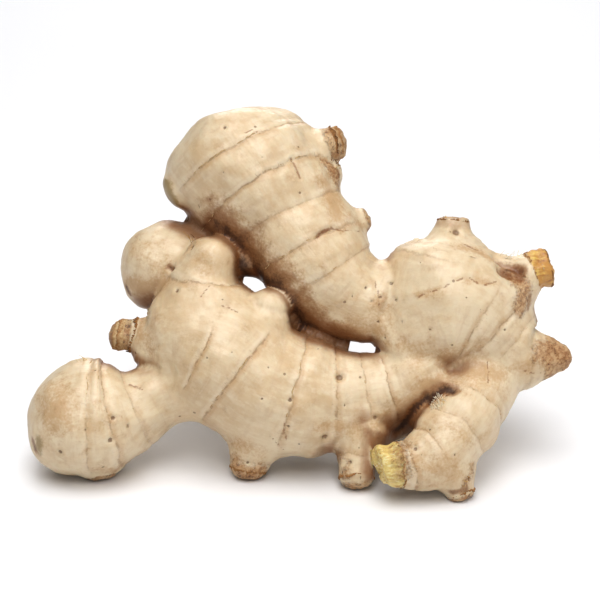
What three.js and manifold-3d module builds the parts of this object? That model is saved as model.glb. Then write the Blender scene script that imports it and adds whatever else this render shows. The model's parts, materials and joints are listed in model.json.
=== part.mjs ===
// A hand of fresh ginger: one rhizome that grew as a single piece, with fat ringed fingers, knobs and broken stubs.
// Millimetres, +Z up, standing on its own feet with the middle of its base at the origin.
import * as THREE from 'three';
import { mergeVertices } from 'three/addons/utils/BufferGeometryUtils.js';
import Module from 'manifold-3d';

const LEAN_DEG = 22; // the fan of fingers leans back by this much, onto its rear foot
const ROW = 5.2; // longest step between rows of facets along a finger
const RING_GROOVE = 0.5; // depth of the groove at a leaf scar
const RING_LIP = 0.5; // height of the lip just past the groove
const RING_STEP = 0.9; // distance from the groove to the lip
const SWELL = 0.5; // height of the broad lumps over the whole skin
const FILLET_REACH = 6; // how far from a join the flesh starts to rise
const FILLET_RISE = 0.35; // rise at the join, as a share of that reach
const BASE_DEPTH = 0.5; // how far a finger's hidden base bulges into its parent, as a share of its radius
const DOME_TURNS = [25, 48, 68]; // degrees at which the rounded tip has a row of facets

// The fingers fan out almost in one plane, so they are laid out in that plane before it leans.
// path: [across, up, back, radius] from the base, sunk in the parent, to the last full section.
// rings: leaf scars, as distances along the path. slant: how far the rings tip over, as a slope.
// dome: length of the rounded tip, as a share of its radius. sides: facets round the finger.
const FINGERS = {
  crown: {
    path: [
      [19, 46.4, 11, 10.4], [14.5, 47.8, 11.5, 11], [8.8, 51.2, 12, 13], [2.9, 58.6, 13, 14.3],
      [-2.5, 66.2, 14.5, 15.2], [-8, 74, 16, 17.5], [-13, 80, 17.5, 18.8], [-16, 84, 18.5, 18.2],
    ],
    rings: [13.5, 22, 31.5, 41, 50.5],
    slant: 0.13,
    dome: 0.62,
    sides: 26,
  },
  crownBud: {
    path: [[-3, 81, 16, 6.6], [2, 83.8, 15, 5.2], [6.2, 86.2, 14, 4], [9, 87.2, 14, 3.8]],
    rings: [9.5],
    dome: 0.7,
    sides: 14,
  },
  crownEye: {
    path: [[7, 65, 13, 7], [12.5, 66.3, 13, 4.8], [15.6, 67.6, 13, 2.8]],
    dome: 0.8,
    sides: 12,
  },
  crownShoulder: {
    path: [[-26.5, 77.5, 16, 7], [-31.2, 75, 15, 3.6]],
    dome: 0.6,
    sides: 12,
  },
  crownTip: {
    path: [[-14, 82, 26, 9], [-15, 85.5, 33.5, 6.2], [-15.5, 87.5, 38, 3.8]],
    rings: [6.5],
    dome: 0.8,
    sides: 16,
  },
  middle: {
    path: [
      [33, 29, 10, 10.5], [29, 27, 10, 11], [22, 24.2, 10, 11.3], [12.5, 22.6, 9.5, 12], [2.5, 22.8, 9.5, 14.6],
      [-9.5, 26.5, 9, 15.8], [-19.5, 33.5, 9, 16.2], [-28, 37.5, 9, 13.6], [-34, 38, 9, 10.4], [-38.3, 38, 9, 6.5],
      [-41.3, 38.9, 9, 4], [-44.5, 39.3, 9, 3.7],
    ],
    rings: [11.5, 18, 25, 36.7, 50.5, 61, 78.5],
    dome: 0.8,
    sides: 26,
  },
  middleTop: {
    path: [[-20, 38, 9, 13], [-23, 46.5, 8.5, 11.6], [-23.2, 53, 8, 8.7], [-21.8, 57.5, 7, 6.1]],
    rings: [15],
    dome: 0.9,
    sides: 20,
  },
  middleEye: {
    path: [[-11, 39, 6, 8], [-8, 43.5, 4.5, 5.6], [-7.2, 46, 4, 4.2]],
    dome: 0.8,
    sides: 12,
  },
  middleRearBud: {
    path: [[-14, 30, 18, 8], [-16, 28.5, 25, 5], [-17, 28, 29, 3.6]],
    rings: [7.2],
    dome: 0.5,
    sides: 14,
  },
  backKnob: {
    path: [[-22, 50, 16, 8.5], [-28.5, 55, 18, 10.2], [-34.4, 57, 19, 10.9]],
    rings: [7],
    dome: 0.93,
    sides: 20,
  },
  leftArm: {
    path: [
      [-26, 27, 8, 8.6], [-34, 24, 7.5, 7.8], [-40.5, 20.6, 7, 9.4], [-47.5, 18.5, 7, 13], [-53.4, 18.3, 7, 14.3],
    ],
    rings: [16, 22, 27.2],
    dome: 0.98,
    sides: 22,
  },
  leftFoot: {
    path: [[-50.5, 12, 6.5, 6], [-50, 6.5, 7.5, 4.4]],
    dome: 0.7,
    sides: 12,
  },
  frontFoot: {
    path: [[-9, 16, 8, 8], [-11.5, 9.5, 8, 5.8], [-12.2, 6.2, 8, 4.9]],
    rings: [9],
    dome: 0.7,
    sides: 16,
  },
  smallFoot: {
    path: [[16, 14, 5, 7], [14.5, 8, 3, 5.2], [14.2, 4.6, 2, 4.6]],
    rings: [6.5],
    dome: 0.8,
    sides: 14,
  },
  frontFinger: {
    path: [
      [42.5, 31.5, 11, 9.8], [43.9, 25.5, 6.5, 9.6], [41.3, 20.6, 2.8, 9.1], [38, 16.2, 0, 9.1], [33, 11, -3, 8.4],
      [27, 8.2, -5, 6.3], [20, 7.3, -7, 4.7],
    ],
    rings: [14, 22, 30, 36.5],
    dome: 0.25,
    sides: 20,
  },
  budHeel: {
    path: [[0, 77.5, 15, 7], [5, 78.6, 14.5, 5], [7.5, 79.4, 14, 3.2]],
    dome: 0.8,
    sides: 10,
  },
  knobChin: {
    path: [[-30, 53.5, 18, 9], [-39, 51.5, 18.5, 5.6]],
    dome: 0.85,
    sides: 10,
  },
  leftChin: {
    path: [[-54, 15, 6.5, 9], [-60, 10.5, 5.5, 5.7]],
    dome: 0.8,
    sides: 10,
  },
  web: {
    path: [[-19, 56.5, 10, 3.6], [-15, 57.4, 11, 4.3], [-10.2, 58.3, 12.5, 5]],
    dome: 0.6,
    sides: 8,
  },
  hubHeel: {
    path: [[45, 31, 10.5, 8], [50.4, 27.2, 9.5, 5]],
    dome: 0.8,
    sides: 10,
  },
  frontHeel: {
    path: [[34, 8.6, -3, 6.8], [37.6, 5, -2.7, 5.6], [39.4, 0.6, -2.5, 3.6]],
    dome: 0.6,
    sides: 14,
  },
  hub: {
    path: [
      [24, 38, 11, 11], [31, 42.5, 11, 15], [38.5, 44.5, 11, 16.8], [46, 41.3, 10.5, 14.4], [51, 37.1, 10, 11.3],
      [55.8, 33.9, 9.5, 8.6], [61.2, 33.2, 9, 5.5], [65, 33.2, 9, 3.4],
    ],
    rings: [23, 28, 33, 39],
    dome: 0.8,
    sides: 26,
  },
  hubTop: {
    path: [
      [36.6, 49, 11, 16], [36.9, 55, 11, 15], [37.7, 58.7, 11, 11.8], [38.1, 61.2, 11, 8], [38.1, 64, 11, 5.5],
      [38.3, 67.6, 11, 4],
    ],
    rings: [8, 12],
    dome: 0.2,
    sides: 18,
  },
  hubSide: {
    path: [[49, 50, 10, 8.6], [54.8, 52.3, 9, 6.6], [58, 54.2, 9, 5.2], [62, 55.3, 9, 4.8]],
    rings: [12],
    dome: 0.2,
    sides: 16,
  },
  hubRearBud: {
    path: [[40, 46, 20, 9], [42, 48, 29, 5.4], [43, 49, 34, 3.8]],
    rings: [10],
    dome: 0.4,
    sides: 14,
  },
  rearFoot: {
    path: [[30, 33, 15, 10], [25, 26.5, 27, 8.5], [20.5, 22.4, 41, 7]],
    rings: [10, 18],
    dome: 0.7,
    sides: 18,
  },
};

const BACK = new THREE.Vector3(0, 1, 0);

// A finger's spine: where it runs, how thick it is there, and the directions across it.
class Spine {
  constructor({ path }) {
    this.curve = new THREE.CatmullRomCurve3(path.map(([across, up, back]) => new THREE.Vector3(across, back, up)));
    this.girth = new THREE.SplineCurve(path.map(([, , , radius], i) => new THREE.Vector2(i, radius)));
    this.length = this.curve.getLength();
    this.base = this.radiusAt(0);
    this.tip = this.radiusAt(this.length);
    this.steps = Math.ceil(this.length / 1.5);
    this.frames = this.curve.computeFrenetFrames(this.steps, false);
    this.beads = [];
    for (let i = 0; i <= this.steps; i++) {
      const station = (i / this.steps) * this.length;
      this.beads.push({ centre: this.curve.getPointAt(i / this.steps), radius: this.radiusAt(station) });
    }
  }

  radiusAt(station) {
    const share = THREE.MathUtils.clamp(station / this.length, 0, 1);
    return this.girth.getPoint(this.curve.getUtoTmapping(share)).y;
  }

  // The centre and the three directions at a station; both ends carry straight on.
  at(station) {
    const share = THREE.MathUtils.clamp(station / this.length, 0, 1);
    const i = Math.min(Math.floor(share * this.steps), this.steps - 1);
    const mix = share * this.steps - i;
    const blend = (list) => list[i].clone().lerp(list[i + 1], mix).normalize();
    const along = blend(this.frames.tangents);
    const centre = this.curve.getPointAt(share).addScaledVector(along, station - share * this.length);
    return { centre, along, side: blend(this.frames.binormals), over: blend(this.frames.normals) };
  }

  // How far a point is from the finger's skin: negative inside.
  distance(point) {
    return Math.min(...this.beads.map(({ centre, radius }) => point.distanceTo(centre) - radius));
  }
}

// Height of the skin at a station: a groove and then a lip at each leaf scar, both smaller on thin fingers.
function ringRelief(station, rings, radius) {
  let height = 0;
  for (const ring of rings) {
    const groove = (station - ring) / (0.6 * RING_STEP);
    const lip = (station - ring - RING_STEP) / RING_STEP;
    height += RING_LIP * Math.exp(-lip * lip) - RING_GROOVE * Math.exp(-groove * groove);
  }
  return height * Math.min(1, radius / 9);
}

// Broad, gentle lumps that run on from one finger to the next.
function swell({ x, y, z }) {
  const wide = Math.sin(x / 4.1 + 0.6) * Math.sin(z / 4.7 + 1.1);
  const tall = Math.sin(y / 3.7 + x / 9 + 2) * Math.sin(z / 6.3 - 0.4);
  return SWELL * (wide + tall);
}

// Fleshy rise of a finger's skin close to the skin of the fingers it joins.
function filletRise(point, spine, others) {
  let rise = 0;
  for (const other of others) {
    const reach = Math.min(FILLET_REACH, 0.7 * spine.base, 0.7 * other.base);
    const gap = Math.min(1, Math.abs(other.distance(point)) / reach);
    rise = Math.max(rise, FILLET_RISE * reach * (1 - gap) ** 2);
  }
  return rise;
}

// The outline turned round the spine: bulging base, rows along the finger and at its rings, rounded tip.
function outlineOf(spine, rings, dome) {
  const marks = [0, spine.length];
  for (const ring of rings) marks.push(ring - RING_STEP, ring, ring + RING_STEP);
  marks.sort((a, b) => a - b);
  const stations = [0];
  for (let i = 1; i < marks.length; i++) {
    const span = marks[i] - marks[i - 1];
    const rows = Math.ceil(span / ROW);
    for (let row = 1; row <= rows; row++) stations.push(marks[i - 1] + (span * row) / rows);
  }
  const outline = [
    new THREE.Vector2(0, -BASE_DEPTH * spine.base),
    new THREE.Vector2(0.75 * spine.base, -0.6 * BASE_DEPTH * spine.base),
  ];
  for (const station of stations) {
    const radius = spine.radiusAt(station);
    outline.push(new THREE.Vector2(radius + ringRelief(station, rings, radius), station));
  }
  for (const turn of DOME_TURNS) {
    const angle = THREE.MathUtils.degToRad(turn);
    const height = dome * spine.tip * Math.sin(angle);
    outline.push(new THREE.Vector2(spine.tip * Math.cos(angle), spine.length + height));
  }
  outline.push(new THREE.Vector2(0, spine.length + dome * spine.tip));
  return outline;
}

// Lathe the outline about a straight axis, bend it along the spine, then raise the lumps and the fillets.
function fingerGeometry({ rings = [], slant = 0, dome, sides }, spine, others) {
  const turned = new THREE.LatheGeometry(outlineOf(spine, rings, dome), sides);
  turned.deleteAttribute('normal');
  turned.deleteAttribute('uv');
  const geometry = mergeVertices(turned, 1e-4);
  const position = geometry.getAttribute('position');
  const straight = new THREE.Vector3();
  const vertex = new THREE.Vector3();
  const outward = new THREE.Vector3();
  const across = new THREE.Vector3();
  for (let i = 0; i < position.count; i++) {
    straight.fromBufferAttribute(position, i);
    const { centre, along, side, over } = spine.at(straight.y);
    outward.copy(side).multiplyScalar(straight.x).addScaledVector(over, straight.z);
    across.crossVectors(along, BACK);
    vertex.copy(centre).add(outward).addScaledVector(along, slant * outward.dot(across));
    const radius = outward.length();
    if (radius > 1e-6) {
      const rise = filletRise(vertex, spine, others) + swell(vertex) * Math.min(1, spine.base / 9);
      vertex.addScaledVector(outward, (rise / radius) * Math.min(1, radius / (0.4 * spine.base)));
    }
    position.setXYZ(i, vertex.x, vertex.y, vertex.z);
  }
  return geometry.rotateX(-THREE.MathUtils.degToRad(LEAN_DEG));
}

const wasm = await Module();
wasm.setup();

function solidOf(geometry) {
  const mesh = new wasm.Mesh({
    numProp: 3,
    vertProperties: new Float32Array(geometry.getAttribute('position').array),
    triVerts: new Uint32Array(geometry.index.array),
  });
  return new wasm.Manifold(mesh);
}

function geometryOf(solid) {
  const { numProp, vertProperties, triVerts } = solid.getMesh();
  const geometry = new THREE.BufferGeometry();
  geometry.setAttribute('position', new THREE.BufferAttribute(vertProperties, numProp));
  geometry.setIndex(new THREE.BufferAttribute(triVerts, 1));
  return geometry;
}

const fingers = Object.values(FINGERS);
const spines = fingers.map((finger) => new Spine(finger));
const grown = fingers.map((finger, i) => {
  const others = spines.filter((spine) => spine !== spines[i]);
  return solidOf(fingerGeometry(finger, spines[i], others));
});
const joined = grown.reduce((hand, finger) => hand.add(finger));

// Everything below the table is pressed off, which leaves the small flats that the hand stands on.
const table = new THREE.BoxGeometry(400, 400, 100).translate(0, 0, -50);
table.deleteAttribute('normal');
table.deleteAttribute('uv');
const standing = geometryOf(joined.subtract(solidOf(mergeVertices(table))));

standing.computeBoundingBox();
const middle = standing.boundingBox.getCenter(new THREE.Vector3());
standing.translate(-middle.x, -middle.y, 0);

const skin = new THREE.MeshStandardMaterial({ color: 0xd9bf95, roughness: 0.7, metalness: 0 });
const rhizome = new THREE.Mesh(standing, skin);
rhizome.name = 'rhizome';
const ginger = new THREE.Group();
ginger.add(rhizome);

export default ginger;
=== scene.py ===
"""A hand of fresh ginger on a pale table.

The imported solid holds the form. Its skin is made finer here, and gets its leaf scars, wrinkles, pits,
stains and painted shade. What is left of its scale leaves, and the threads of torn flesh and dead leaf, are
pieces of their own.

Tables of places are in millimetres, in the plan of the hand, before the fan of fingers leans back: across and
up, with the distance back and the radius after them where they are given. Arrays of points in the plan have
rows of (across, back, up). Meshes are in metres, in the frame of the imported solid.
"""

import json
import logging
import math
from dataclasses import dataclass
from enum import Enum

import bpy
import numpy as np
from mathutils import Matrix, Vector
from mathutils.bvhtree import BVHTree

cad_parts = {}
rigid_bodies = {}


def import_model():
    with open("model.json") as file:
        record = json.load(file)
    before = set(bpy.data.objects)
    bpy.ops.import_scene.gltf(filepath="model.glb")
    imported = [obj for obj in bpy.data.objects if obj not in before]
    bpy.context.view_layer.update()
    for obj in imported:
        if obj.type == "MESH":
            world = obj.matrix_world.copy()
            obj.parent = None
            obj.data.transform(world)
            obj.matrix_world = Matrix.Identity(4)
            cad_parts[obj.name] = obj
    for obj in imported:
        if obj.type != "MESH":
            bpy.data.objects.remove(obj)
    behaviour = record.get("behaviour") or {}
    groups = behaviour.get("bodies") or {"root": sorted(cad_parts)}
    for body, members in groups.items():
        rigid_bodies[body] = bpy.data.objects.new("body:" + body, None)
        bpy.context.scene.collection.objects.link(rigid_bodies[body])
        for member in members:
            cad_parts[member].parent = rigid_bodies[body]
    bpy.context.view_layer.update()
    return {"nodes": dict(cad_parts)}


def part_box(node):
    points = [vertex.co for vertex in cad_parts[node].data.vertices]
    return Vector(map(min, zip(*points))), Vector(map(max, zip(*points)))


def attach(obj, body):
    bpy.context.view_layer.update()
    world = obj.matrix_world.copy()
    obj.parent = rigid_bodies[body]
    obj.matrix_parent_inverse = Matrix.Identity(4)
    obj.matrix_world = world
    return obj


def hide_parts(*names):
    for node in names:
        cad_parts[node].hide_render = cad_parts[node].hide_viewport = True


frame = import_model()

log = logging.getLogger("ginger")

MM = 0.001
LEAN = math.radians(22)  # the fan of fingers leans back by this much
BASE_MIDDLE = (0.157, 31.268)  # middle of the leaned hand's base, across and back, in mm
SEED = 41

FILLET_REACH = 5.0  # mm from a join at which the flesh starts to rise
FILLET_RISE = 0.3  # rise at the join, as a share of that reach
FILLET_SHARE = 0.7  # the most that a fillet reaches, as a share of either finger's radius at its base
BASE_DEPTH = 0.5  # how far a finger's hidden base bulges into its parent, as a share of its radius
SWELL = 0.5  # mm, height of the broad lumps over the whole skin
THICK = 9.0  # mm, radius at its base above which a finger has the lumps in full
JOIN = 0.3  # mm, softness of the crease where two fingers meet
FAR = 40.0  # mm, stands for the distance to a finger that is nowhere near
FALL_OFF = 1.4  # mm from a crease in which it fades
SHARP = 2.2  # how soon a turn of the skin counts as a full crease
TINY = 1e-9  # keeps a division from failing
MERGE = 1e-6  # metres, vertices closer than this become one


class End(Enum):
    """How a finger ends."""

    ROUND = "round"
    CORKY = "corky"
    TORN = "torn"
    OLIVE = "olive"


@dataclass(frozen=True)
class Finger:
    """One finger, knob, foot or stub of the hand.

    Attributes:
        path: stations as (across, up, back, radius) in mm, from the base in its parent to the last
            full section.
        rings: leaf scars as (distance along the path in mm, strength from 0 to 1).
        slant: how far the rings tip over, as a slope.
        dome: length of the rounded tip, as a share of its radius.
        end: how the finger ends.
        end_length: how far the end's colour reaches back from the tip, in mm.
    """

    path: tuple
    dome: float
    rings: tuple = ()
    slant: float = 0.0
    end: End = End.ROUND
    end_length: float = 4.0


FINGERS = {
    "crown": Finger(
        path=(
            (19, 46.4, 11, 10.4), (14.5, 47.8, 11.5, 11), (8.8, 51.2, 12, 13), (2.9, 58.6, 13, 14.3),
            (-2.5, 66.2, 14.5, 15.2), (-8, 74, 16, 17.5), (-13, 80, 17.5, 18.8), (-16, 84, 18.5, 18.2),
        ),
        rings=((13.5, 0.5), (22, 0.7), (31.5, 0.5), (41, 1.0), (50.5, 0.75)),
        slant=0.13,
        dome=0.62,
    ),
    "crown_bud": Finger(
        path=((-3, 81, 16, 6.6), (2, 83.8, 15, 5.2), (6.2, 86.2, 14, 4), (9, 87.2, 14, 3.8)),
        rings=((9.5, 0.6),),
        dome=0.7,
        end=End.CORKY,
        end_length=5.0,
    ),
    "crown_eye": Finger(
        path=((7, 65, 13, 7), (12.5, 66.3, 13, 4.8), (15.6, 67.6, 13, 2.8)),
        dome=0.8,
        end=End.CORKY,
        end_length=1.3,
    ),
    "crown_shoulder": Finger(
        path=((-26.5, 77.5, 16, 7), (-31.2, 75, 15, 3.6)),
        dome=0.6,
        end=End.OLIVE,
        end_length=1.0,
    ),
    "crown_tip": Finger(
        path=((-14, 82, 26, 9), (-15, 85.5, 33.5, 6.2), (-15.5, 87.5, 38, 3.8)),
        rings=((6.5, 0.8),),
        dome=0.8,
        end=End.CORKY,
        end_length=4.0,
    ),
    "middle": Finger(
        path=(
            (33, 29, 10, 10.5), (29, 27, 10, 11), (22, 24.2, 10, 11.3), (12.5, 22.6, 9.5, 12),
            (2.5, 22.8, 9.5, 14.6), (-9.5, 26.5, 9, 15.8), (-19.5, 33.5, 9, 16.2), (-28, 37.5, 9, 13.6),
            (-34, 38, 9, 10.4), (-38.3, 38, 9, 6.5), (-41.3, 38.9, 9, 4), (-44.5, 39.3, 9, 3.7),
        ),
        rings=((11.5, 0.9), (18, 0.6), (25, 0.8), (36.7, 0.7), (50.5, 1.0), (61, 1.0), (78.5, 0.5)),
        dome=0.8,
        end=End.CORKY,
        end_length=5.5,
    ),
    "middle_top": Finger(
        path=((-20, 38, 9, 13), (-23, 46.5, 8.5, 11.6), (-23.2, 53, 8, 8.7), (-21.8, 57.5, 7, 6.1)),
        rings=((15, 0.8),),
        dome=0.9,
    ),
    "middle_eye": Finger(
        path=((-11, 39, 6, 8), (-8, 43.5, 4.5, 5.6), (-7.2, 46, 4, 4.2)),
        dome=0.8,
    ),
    "middle_rear_bud": Finger(
        path=((-14, 30, 18, 8), (-16, 28.5, 25, 5), (-17, 28, 29, 3.6)),
        rings=((7.2, 0.8),),
        dome=0.5,
        end=End.CORKY,
    ),
    "back_knob": Finger(
        path=((-22, 50, 16, 8.5), (-28.5, 55, 18, 10.2), (-34.4, 57, 19, 10.9)),
        rings=((7, 0.7),),
        dome=0.93,
    ),
    "left_arm": Finger(
        path=(
            (-26, 27, 8, 8.6), (-34, 24, 7.5, 7.8), (-40.5, 20.6, 7, 9.4), (-47.5, 18.5, 7, 13),
            (-53.4, 18.3, 7, 14.3),
        ),
        rings=((16, 0.4), (22, 0.8), (27.2, 0.6)),
        dome=0.98,
    ),
    "left_foot": Finger(
        path=((-50.5, 12, 6.5, 6), (-50, 6.5, 7.5, 4.4)),
        dome=0.7,
        end=End.CORKY,
        end_length=1.5,
    ),
    "front_foot": Finger(
        path=((-9, 16, 8, 8), (-11.5, 9.5, 8, 5.8), (-12.2, 6.2, 8, 4.9)),
        rings=((9, 0.5),),
        dome=0.7,
        end=End.CORKY,
        end_length=3.5,
    ),
    "small_foot": Finger(
        path=((16, 14, 5, 7), (14.5, 8, 3, 5.2), (14.2, 4.6, 2, 4.6)),
        rings=((6.5, 0.5),),
        dome=0.8,
        end=End.CORKY,
        end_length=1.4,
    ),
    "front_finger": Finger(
        path=(
            (42.5, 31.5, 11, 9.8), (43.9, 25.5, 6.5, 9.6), (41.3, 20.6, 2.8, 9.1), (38, 16.2, 0, 9.1),
            (33, 11, -3, 8.4), (27, 8.2, -5, 6.3), (20, 7.3, -7, 4.7),
        ),
        rings=((14, 0.5), (22, 0.4), (30, 0.7), (36.5, 1.0)),
        dome=0.25,
        end=End.TORN,
        end_length=5.0,
    ),
    "bud_heel": Finger(
        path=((0, 77.5, 15, 7), (5, 78.6, 14.5, 5), (7.5, 79.4, 14, 3.2)),
        dome=0.8,
    ),
    "knob_chin": Finger(
        path=((-30, 53.5, 18, 9), (-39, 51.5, 18.5, 5.6)),
        dome=0.85,
    ),
    "left_chin": Finger(
        path=((-54, 15, 6.5, 9), (-60, 10.5, 5.5, 5.7)),
        dome=0.8,
    ),
    "hub_heel": Finger(
        path=((45, 31, 10.5, 8), (50.4, 27.2, 9.5, 5)),
        dome=0.8,
    ),
    "web": Finger(
        path=((-19, 56.5, 10, 3.6), (-15, 57.4, 11, 4.3), (-10.2, 58.3, 12.5, 5)),
        dome=0.6,
    ),
    "front_heel": Finger(
        path=((34, 8.6, -3, 6.8), (37.6, 5, -2.7, 5.6), (39.4, 0.6, -2.5, 3.6)),
        dome=0.6,
        end=End.CORKY,
        end_length=1.8,
    ),
    "hub": Finger(
        path=(
            (24, 38, 11, 11), (31, 42.5, 11, 15), (38.5, 44.5, 11, 16.8), (46, 41.3, 10.5, 14.4),
            (51, 37.1, 10, 11.3), (55.8, 33.9, 9.5, 8.6), (61.2, 33.2, 9, 5.5), (65, 33.2, 9, 3.4),
        ),
        rings=((23, 0.8), (28, 0.8), (33, 0.5), (39, 0.4)),
        dome=0.8,
        end=End.CORKY,
        end_length=7.0,
    ),
    "hub_top": Finger(
        path=(
            (36.6, 49, 11, 16), (36.9, 55, 11, 15), (37.7, 58.7, 11, 11.8), (38.1, 61.2, 11, 8),
            (38.1, 64, 11, 5.5), (38.3, 67.6, 11, 4),
        ),
        rings=((8, 0.5), (12, 0.6)),
        dome=0.2,
        end=End.CORKY,
        end_length=0.8,
    ),
    "hub_side": Finger(
        path=((49, 50, 10, 8.6), (54.8, 52.3, 9, 6.6), (58, 54.2, 9, 5.2), (62, 55.3, 9, 4.8)),
        rings=((12, 0.8),),
        dome=0.2,
        end=End.TORN,
        end_length=5.0,
    ),
    "hub_rear_bud": Finger(
        path=((40, 46, 20, 9), (42, 48, 29, 5.4), (43, 49, 34, 3.8)),
        rings=((10, 0.8),),
        dome=0.4,
        end=End.CORKY,
    ),
    "rear_foot": Finger(
        path=((30, 33, 15, 10), (25, 26.5, 27, 8.5), (20.5, 22.4, 41, 7)),
        rings=((10, 0.8), (18, 0.7)),
        dome=0.7,
        end=End.CORKY,
        end_length=4.0,
    ),
}


class Blemish(Enum):
    """What a mark on the skin is."""

    PIT = "pit"
    LINE = "line"
    # stains, and broad painted shade where the hand turns away from the light
    STAIN_AND_SHADE = "stain"
    RUST = "rust"
    # painted shade along crevices, under the fingers and round the feet
    DARK_SHADE = "soil"
    OLIVE = "olive"
    GOLD = "gold"


@dataclass(frozen=True)
class Mark:
    """A mark on the side of the hand that faces the front.

    Attributes:
        kind: what it is.
        route: its points as (across, up) in mm, as seen from the front.
        width: half its width in mm.
        depth: how far it sinks into the skin, in mm.
        strength: its amount at the middle.
        finger: the only finger it lies on, or nothing for all.
    """

    kind: Blemish
    route: tuple
    width: float
    depth: float = 0.0
    strength: float = 1.0
    finger: str = ""


# Small round pits: across, up and half their width, in mm.
PITS = (
    (-18.8, 90.5, 0.5), (-27.2, 60.8, 0.9), (-30.8, 49.8, 0.6), (10, 28.2, 0.9), (-2.5, 22.5, 0.6),
    (6.2, 13.2, 0.8), (18.8, 18, 0.6), (-46.8, 18, 0.6), (-47.5, 12.5, 0.7), (-60, 9.5, 0.6),
    (-43.2, 16, 0.5), (39, 64.5, 1), (28.8, 10.2, 0.6), (16.5, 50.5, 0.5), (18, 47.2, 0.45),
    (20.2, 48.2, 0.5), (19.5, 42, 0.4), (17, 36.2, 0.45), (21, 38, 0.4), (13, 48.5, 0.4), (-32, 55.5, 0.9),
    (-3, 15.8, 0.5), (-9.5, 23, 0.4), (11.2, 21.2, 0.4), (4.5, 35, 0.35), (32.5, 40, 0.4), (38, 36.2, 0.35),
    (51.2, 40, 0.4), (-25, 71.2, 0.4), (-9.5, 83, 0.3), (-40, 62.5, 0.35), (-51.2, 29.5, 0.4),
    (-53.5, 15, 0.4), (-22.5, 38.8, 0.35), (-17, 34.5, 0.3), (0, 60, 0.35), (23.8, 47.5, 0.5),
    (25.5, 42, 0.4), (22.8, 51.8, 0.5), (30, 57, 0.3), (36.5, 23.8, 0.4), (32.5, 15, 0.35),
    (38.8, 8.8, 0.4), (-13.2, 6.8, 0.5), (-9.5, 5, 0.4), (12.5, 7, 0.5), (10.5, 4.5, 0.5), (15.2, 3, 0.45),
)

def marks_of(kind: Blemish, *rows: tuple) -> tuple[Mark, ...]:
    """Marks of one kind.

    Args:
        kind: the kind.
        rows: what else each mark is given, in the order of its fields.

    Returns:
        The marks.
    """
    return tuple(Mark(kind, *row) for row in rows)


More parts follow.
